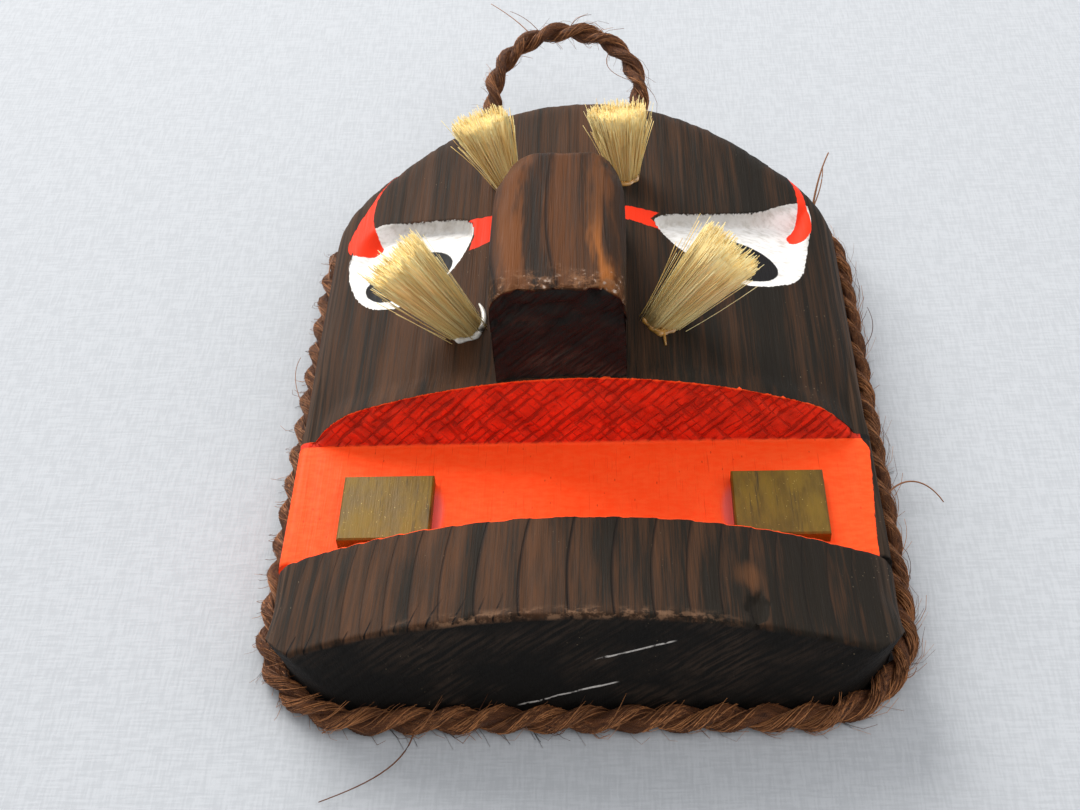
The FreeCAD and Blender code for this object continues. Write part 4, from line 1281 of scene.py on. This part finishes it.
def build_rope(name, path, reference, seed):
    """Two twisted strands along a path."""
    centre, marks, side, up = rope_frames(path, reference, 0.55)
    wobble = noise(np.stack([marks / 13.0, marks * 0, marks * 0 + seed], axis=-1), 1.0, seed)
    twist = 2 * math.pi * marks / ROPE_PITCH + 0.35 * wobble
    first, first_values = strand(centre, marks, side, up, twist, seed)
    second, second_values = strand(centre, marks, side, up, twist + math.pi, seed + 7)
    faces = [face for start in (0, len(first)) for face in tube_faces(len(marks), STRAND_SIDES, start)]
    values = {key: np.concatenate([first_values[key], second_values[key]]) for key in first_values}
    return new_object(name, np.concatenate([first, second]), faces, ROPE, values)


def stray_fibres(path, reference, count, seed, wild):
    """Fibres that lie along a rope's strands, some of them springing away from it at one end."""
    rng = np.random.default_rng(seed)
    centre, marks, *directions = rope_frames(path, reference, 1.0)
    share = np.linspace(0, 1, 7)
    lengths = rng.uniform(5, 17, count)
    starts = rng.uniform(0, max(marks[-1] - 4, 1), count)
    at = np.clip(starts[:, None] + lengths[:, None] * share, 0, marks[-1])
    base, across, over = (sample(at, marks, source) for source in (centre, *directions))
    place = rng.uniform(-1.2, 1.2, count)[:, None] + rng.uniform(-0.5, 0.5, count)[:, None] * share
    turn = 2 * math.pi * at / ROPE_PITCH + math.pi * rng.integers(0, 2, count)[:, None] + place
    sunk = np.maximum(STRAND_RADIUS**2 - (STRAND_OFFSET * np.sin(place)) ** 2, 0)
    radius = STRAND_OFFSET * np.cos(place) + np.sqrt(sunk) + 0.15 * rng.random((count, 1))
    spring = rng.random(count) < wild
    away = np.where(spring, rng.uniform(1.2, 4.5, count), rng.uniform(0, 0.25, count))
    radius = radius + away[:, None] * share**2.2
    thickness = rng.uniform(0.06, 0.13, count)[:, None] * np.linspace(1, 0.55, len(share))
    return fibre_tubes(base + radius[..., None] * rotate(turn, across, over), thickness)


def fibre_object(name, path, reference, count, seed, wild):
    """A rope's own loose fibres, kept in front of the wall, as one object."""
    vertices, faces, along, tint = stray_fibres(path, reference, count, seed, wild)
    vertices[:, 2] = np.maximum(vertices[:, 2], WALL_GAP)
    return new_object(name, vertices, faces, STRAY, {"along": along, "tint": tint})


def long_strays(name, runs, origin=(0, 0, 0)):
    """Single long fibres that have sprung out of the rope, as one object. Each run is its places,
    counted from the origin, and its radius."""
    paths = np.array([curve(np.array(points) + origin) for points, _ in runs])
    radii = np.array([radius * np.linspace(1, 0.6, paths.shape[1]) for _, radius in runs])
    vertices, faces, along, tint = fibre_tubes(paths, radii, 5)
    return new_object(name, vertices, faces, STRAY, {"along": along, "tint": 0.45 * tint})


def border_path():
    """The rope's centre line round the outline, from the crown and back to it. Each arc is its
    centre, its radius and its start and end angles from straight up."""
    lean = math.asin(SHOULDER_X / (CROWN_RADIUS - SHOULDER_RADIUS))
    crown = (0, CROWN_CENTRE)
    corner = (CORNER_X, CORNER_RADIUS)
    shoulder = (SHOULDER_X, SHOULDER_Z)
    arcs = [
        (crown, CROWN_RADIUS, 0, -lean),
        ((-shoulder[0], shoulder[1]), SHOULDER_RADIUS, -lean, -math.pi / 2),
        ((-corner[0], corner[1]), CORNER_RADIUS, -math.pi / 2, -math.pi),
        (corner, CORNER_RADIUS, math.pi, math.pi / 2),
        (shoulder, SHOULDER_RADIUS, math.pi / 2, lean),
        (crown, CROWN_RADIUS, lean, 0.004),
    ]
    path = []
    for (x, up), radius, start, end in arcs:
        for angle in np.linspace(start, end, 24):
            reach = radius + ROPE_GAP
            path.append((x + reach * math.sin(angle), up + reach * math.cos(angle), ROPE_RADIUS))
    return np.array(path)


ROPE = rope_material()
STRAY = stray_material()
OUT = np.array([0.0, 0.0, 1.0])
BORDER_STRAYS = [
    ([(79, 63, 4), (84, 71, 5), (91, 71, 5), (95, 63, 3)], 0.28),
    ([(-39.8, -3, 3), (-40, -14, 2), (-50, -19, 2), (-61, -23, 1)], 0.22),
    ([(74, 8, 4), (78.5, 6, 4), (80, 11, 3)], 0.16),
    ([(-79, 166, 6), (-81, 158, 6), (-77, 146, 5)], 0.3),
    ([(73, 184, 6), (75, 192, 14), (79, 200, 16)], 0.38),
    ([(72, 182, 5), (77, 190, 11), (77, 197, 13)], 0.25),
    ([(-62, -6, 3), (-58, -2, 2), (-52, -6, 3)], 0.15),
    ([(-80, 100, 5), (-86, 112, 6), (-84, 122, 4)], 0.14),
    ([(81, 120, 5), (87, 128, 5), (85, 140, 3)], 0.14),
]

border_line = border_path()
settle(build_rope("border_rope", border_line, OUT, 91), "palm_rope", "rope_border")
settle(fibre_object("border_fibres", border_line, OUT, 4200, 92, 0.15), "palm_rope")
settle(long_strays("border_strays", BORDER_STRAYS), "palm_rope")


# ---------------------------------------------------------------- hanging loop

joint = frame["joints"][0]["pos_m"]
PIVOT = np.array([joint[0] / MM, (joint[2] - FOOT_Z) / MM, -joint[1] / MM])
LOOP_HALF = (LOOP_HIGH[0] - LOOP_LOW[0]) / 2 - ROPE_RADIUS
LOOP_TILT = math.radians(25.0)
LOOP_AHEAD = np.array([0.0, math.cos(LOOP_TILT), math.sin(LOOP_TILT)])
LOOP_REACH = 45.1
# Distances below and beyond the pivot, worked into bend_start and bend_end, which nothing uses.
BEND_BELOW = 2.5
BEND_BEYOND = 5.0
# Long fibres that stand out of the loop's arch, counted from its top.
LOOP_STRAYS = [
    ([(-11, -3, 0), (-16, 5, 2), (-26, 16, 2)], 0.2),
    ([(-9, -1, 1), (-13, 5, 3), (-19, 9, 3)], 0.14),
    ([(16, -6, -3), (10, -14, -6), (21, -18, -8)], 0.15),
    ([(2, 2, 1), (4, 7, 2), (9, 7, 2)], 0.12),
]


def loop_path():
    """The loop's centre line: up out of one hole, over the arch and down into the other."""
    leg = LOOP_REACH - LOOP_HALF
    tail = PIVOT[1] - TAIL_LOW[1]
    up = [PIVOT + [-LOOP_HALF, drop, 0] for drop in np.linspace(-tail, 0, 8)[:-1]]
    up += [PIVOT + [-LOOP_HALF, 0, 0] + rise * LOOP_AHEAD for rise in np.linspace(0, leg, 8)[:-1]]
    arch = [
        PIVOT + [LOOP_HALF * math.sin(angle), 0, 0] + (leg + LOOP_HALF * math.cos(angle)) * LOOP_AHEAD
        for angle in np.linspace(-math.pi / 2, math.pi / 2, 32)
    ]
    down = [point + [2 * LOOP_HALF, 0, 0] for point in reversed(up)]
    return np.array(up + arch + down)


loop_line = loop_path()
loop_normal = np.array([0.0, -math.sin(LOOP_TILT / 2), math.cos(LOOP_TILT / 2)])
loop = build_rope("loop_rope", loop_line, loop_normal, 95)
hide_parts("hanging_loop", "loop_tails")
loop_fibres = fibre_object("loop_fibres", loop_line, loop_normal, 700, 96, 0.16)
loop_strays = long_strays("loop_strays", LOOP_STRAYS, PIVOT + LOOP_REACH * LOOP_AHEAD)
bend_start = tuple(to_frame(PIVOT - [0, BEND_BELOW, 0]))
bend_end = tuple(to_frame(PIVOT + BEND_BEYOND * LOOP_AHEAD))
for piece in (loop, loop_fibres, loop_strays):
    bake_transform(piece)


# ---------------------------------------------------------------- stage

CLOTH_REACH = 900.0
CLOTH_BEHIND = 0.15
CLOTH_HOLE = 0.95


def cloth_material():
    """Pale woven cloth, seen only from its front."""
    nodes = Nodes("pale_cloth")
    weave = nodes.noise((1500, 1500, 160), 2) + nodes.noise((160, 1500, 1500), 2)
    colour = nodes.mix(weave.span(0.8, 1.2), (174, 177, 181), (182, 185, 189))
    nodes.finish(colour, 0.85, nodes.bump(weave, 0.3 * MM, 0.35), Specular_IOR_Level=0.1)
    behind = nodes.value("NewGeometry", "Backfacing", {}) * nodes.value("LightPath", "Is Camera Ray", {})
    clear = nodes.new("BsdfTransparent", {}).outputs[0]
    seen = nodes.new("MixShader", {0: behind, 1: nodes.shader.outputs[0], 2: clear}).outputs[0]
    nodes.link(nodes.output.inputs["Surface"], seen)
    return nodes.material


def build_cloth():
    """A flat cloth behind the mask, open where the mask covers it so that the back is lit too."""
    centre = np.array([0.0, HEIGHT / 2])
    hole = centre + CLOTH_HOLE * (border_path()[:, :2] - centre)
    flat = np.concatenate([hole, centre + unit(hole - centre) * CLOTH_REACH])
    count = len(hole)
    points = np.column_stack([flat, np.full(len(flat), -CLOTH_BEHIND)])
    faces = [(n, count + n, count + (n + 1) % count, (n + 1) % count) for n in range(count)]
    new_object("cloth", points, faces, cloth_material(), smooth=False)


def area_light(name, place, size, power, colour=(1.0, 1.0, 1.0)):
    """A soft square lamp, in metres, aimed at the frame's origin."""
    lamp = bpy.data.lights.new(name, "AREA")
    lamp.shape = "SQUARE"
    lamp.size = size
    lamp.energy = power
    lamp.color = colour
    holder = bpy.data.objects.new(name, lamp)
    holder.location = place
    holder.rotation_euler = (-Vector(place)).to_track_quat("-Z", "Y").to_euler()
    bpy.context.scene.collection.objects.link(holder)


def light_studio():
    """The lamps, the pale surroundings and plain colour handling."""
    area_light("window", (-1.05, -1.35, 1.45), 1.5, 66.0, (1.0, 0.985, 0.96))
    area_light("fill", (1.0, -1.3, -0.3), 1.4, 9.0)
    area_light("rear", (0.2, 1.0, 0.5), 1.0, 8.0)
    world = bpy.data.worlds.new("studio")
    world.use_nodes = True
    background = world.node_tree.nodes["Background"]
    background.inputs["Color"].default_value = (0.86, 0.865, 0.88, 1.0)
    background.inputs["Strength"].default_value = 0.84
    bpy.context.scene.world = world
    bpy.context.scene.view_settings.view_transform = "Standard"


def place_camera():
    """The camera looks down on the chin's side of the face from the front, a little to the right."""
    lift, swing, roll = math.radians(45.6), math.radians(4.03), math.radians(-3.92)
    distance = 432.35
    target = np.array([-12.74, 104.41, 0.0])
    level = math.cos(lift)
    towards = np.array([math.sin(swing) * level, -math.cos(swing) * level, math.sin(lift)])
    right = unit(np.cross(-towards, [0, 0, 1]))
    upward = np.cross(right, -towards)
    turned_right, turned_up = rotate(roll, right, upward), rotate(roll, upward, -right)
    camera = bpy.data.cameras.new("camera")
    camera.lens = 50.0
    camera.sensor_width = 36.0
    camera.clip_start = 0.01
    holder = bpy.data.objects.new("camera", camera)
    axes = [Vector((x, -out, up)) for x, up, out in (turned_right, turned_up, towards)]
    eye = Vector(to_frame(target + distance * towards))
    holder.matrix_world = Matrix.Translation(eye) @ Matrix(axes).transposed().to_4x4()
    bpy.context.scene.collection.objects.link(holder)
    bpy.context.scene.camera = holder


build_cloth()
light_studio()
place_camera()
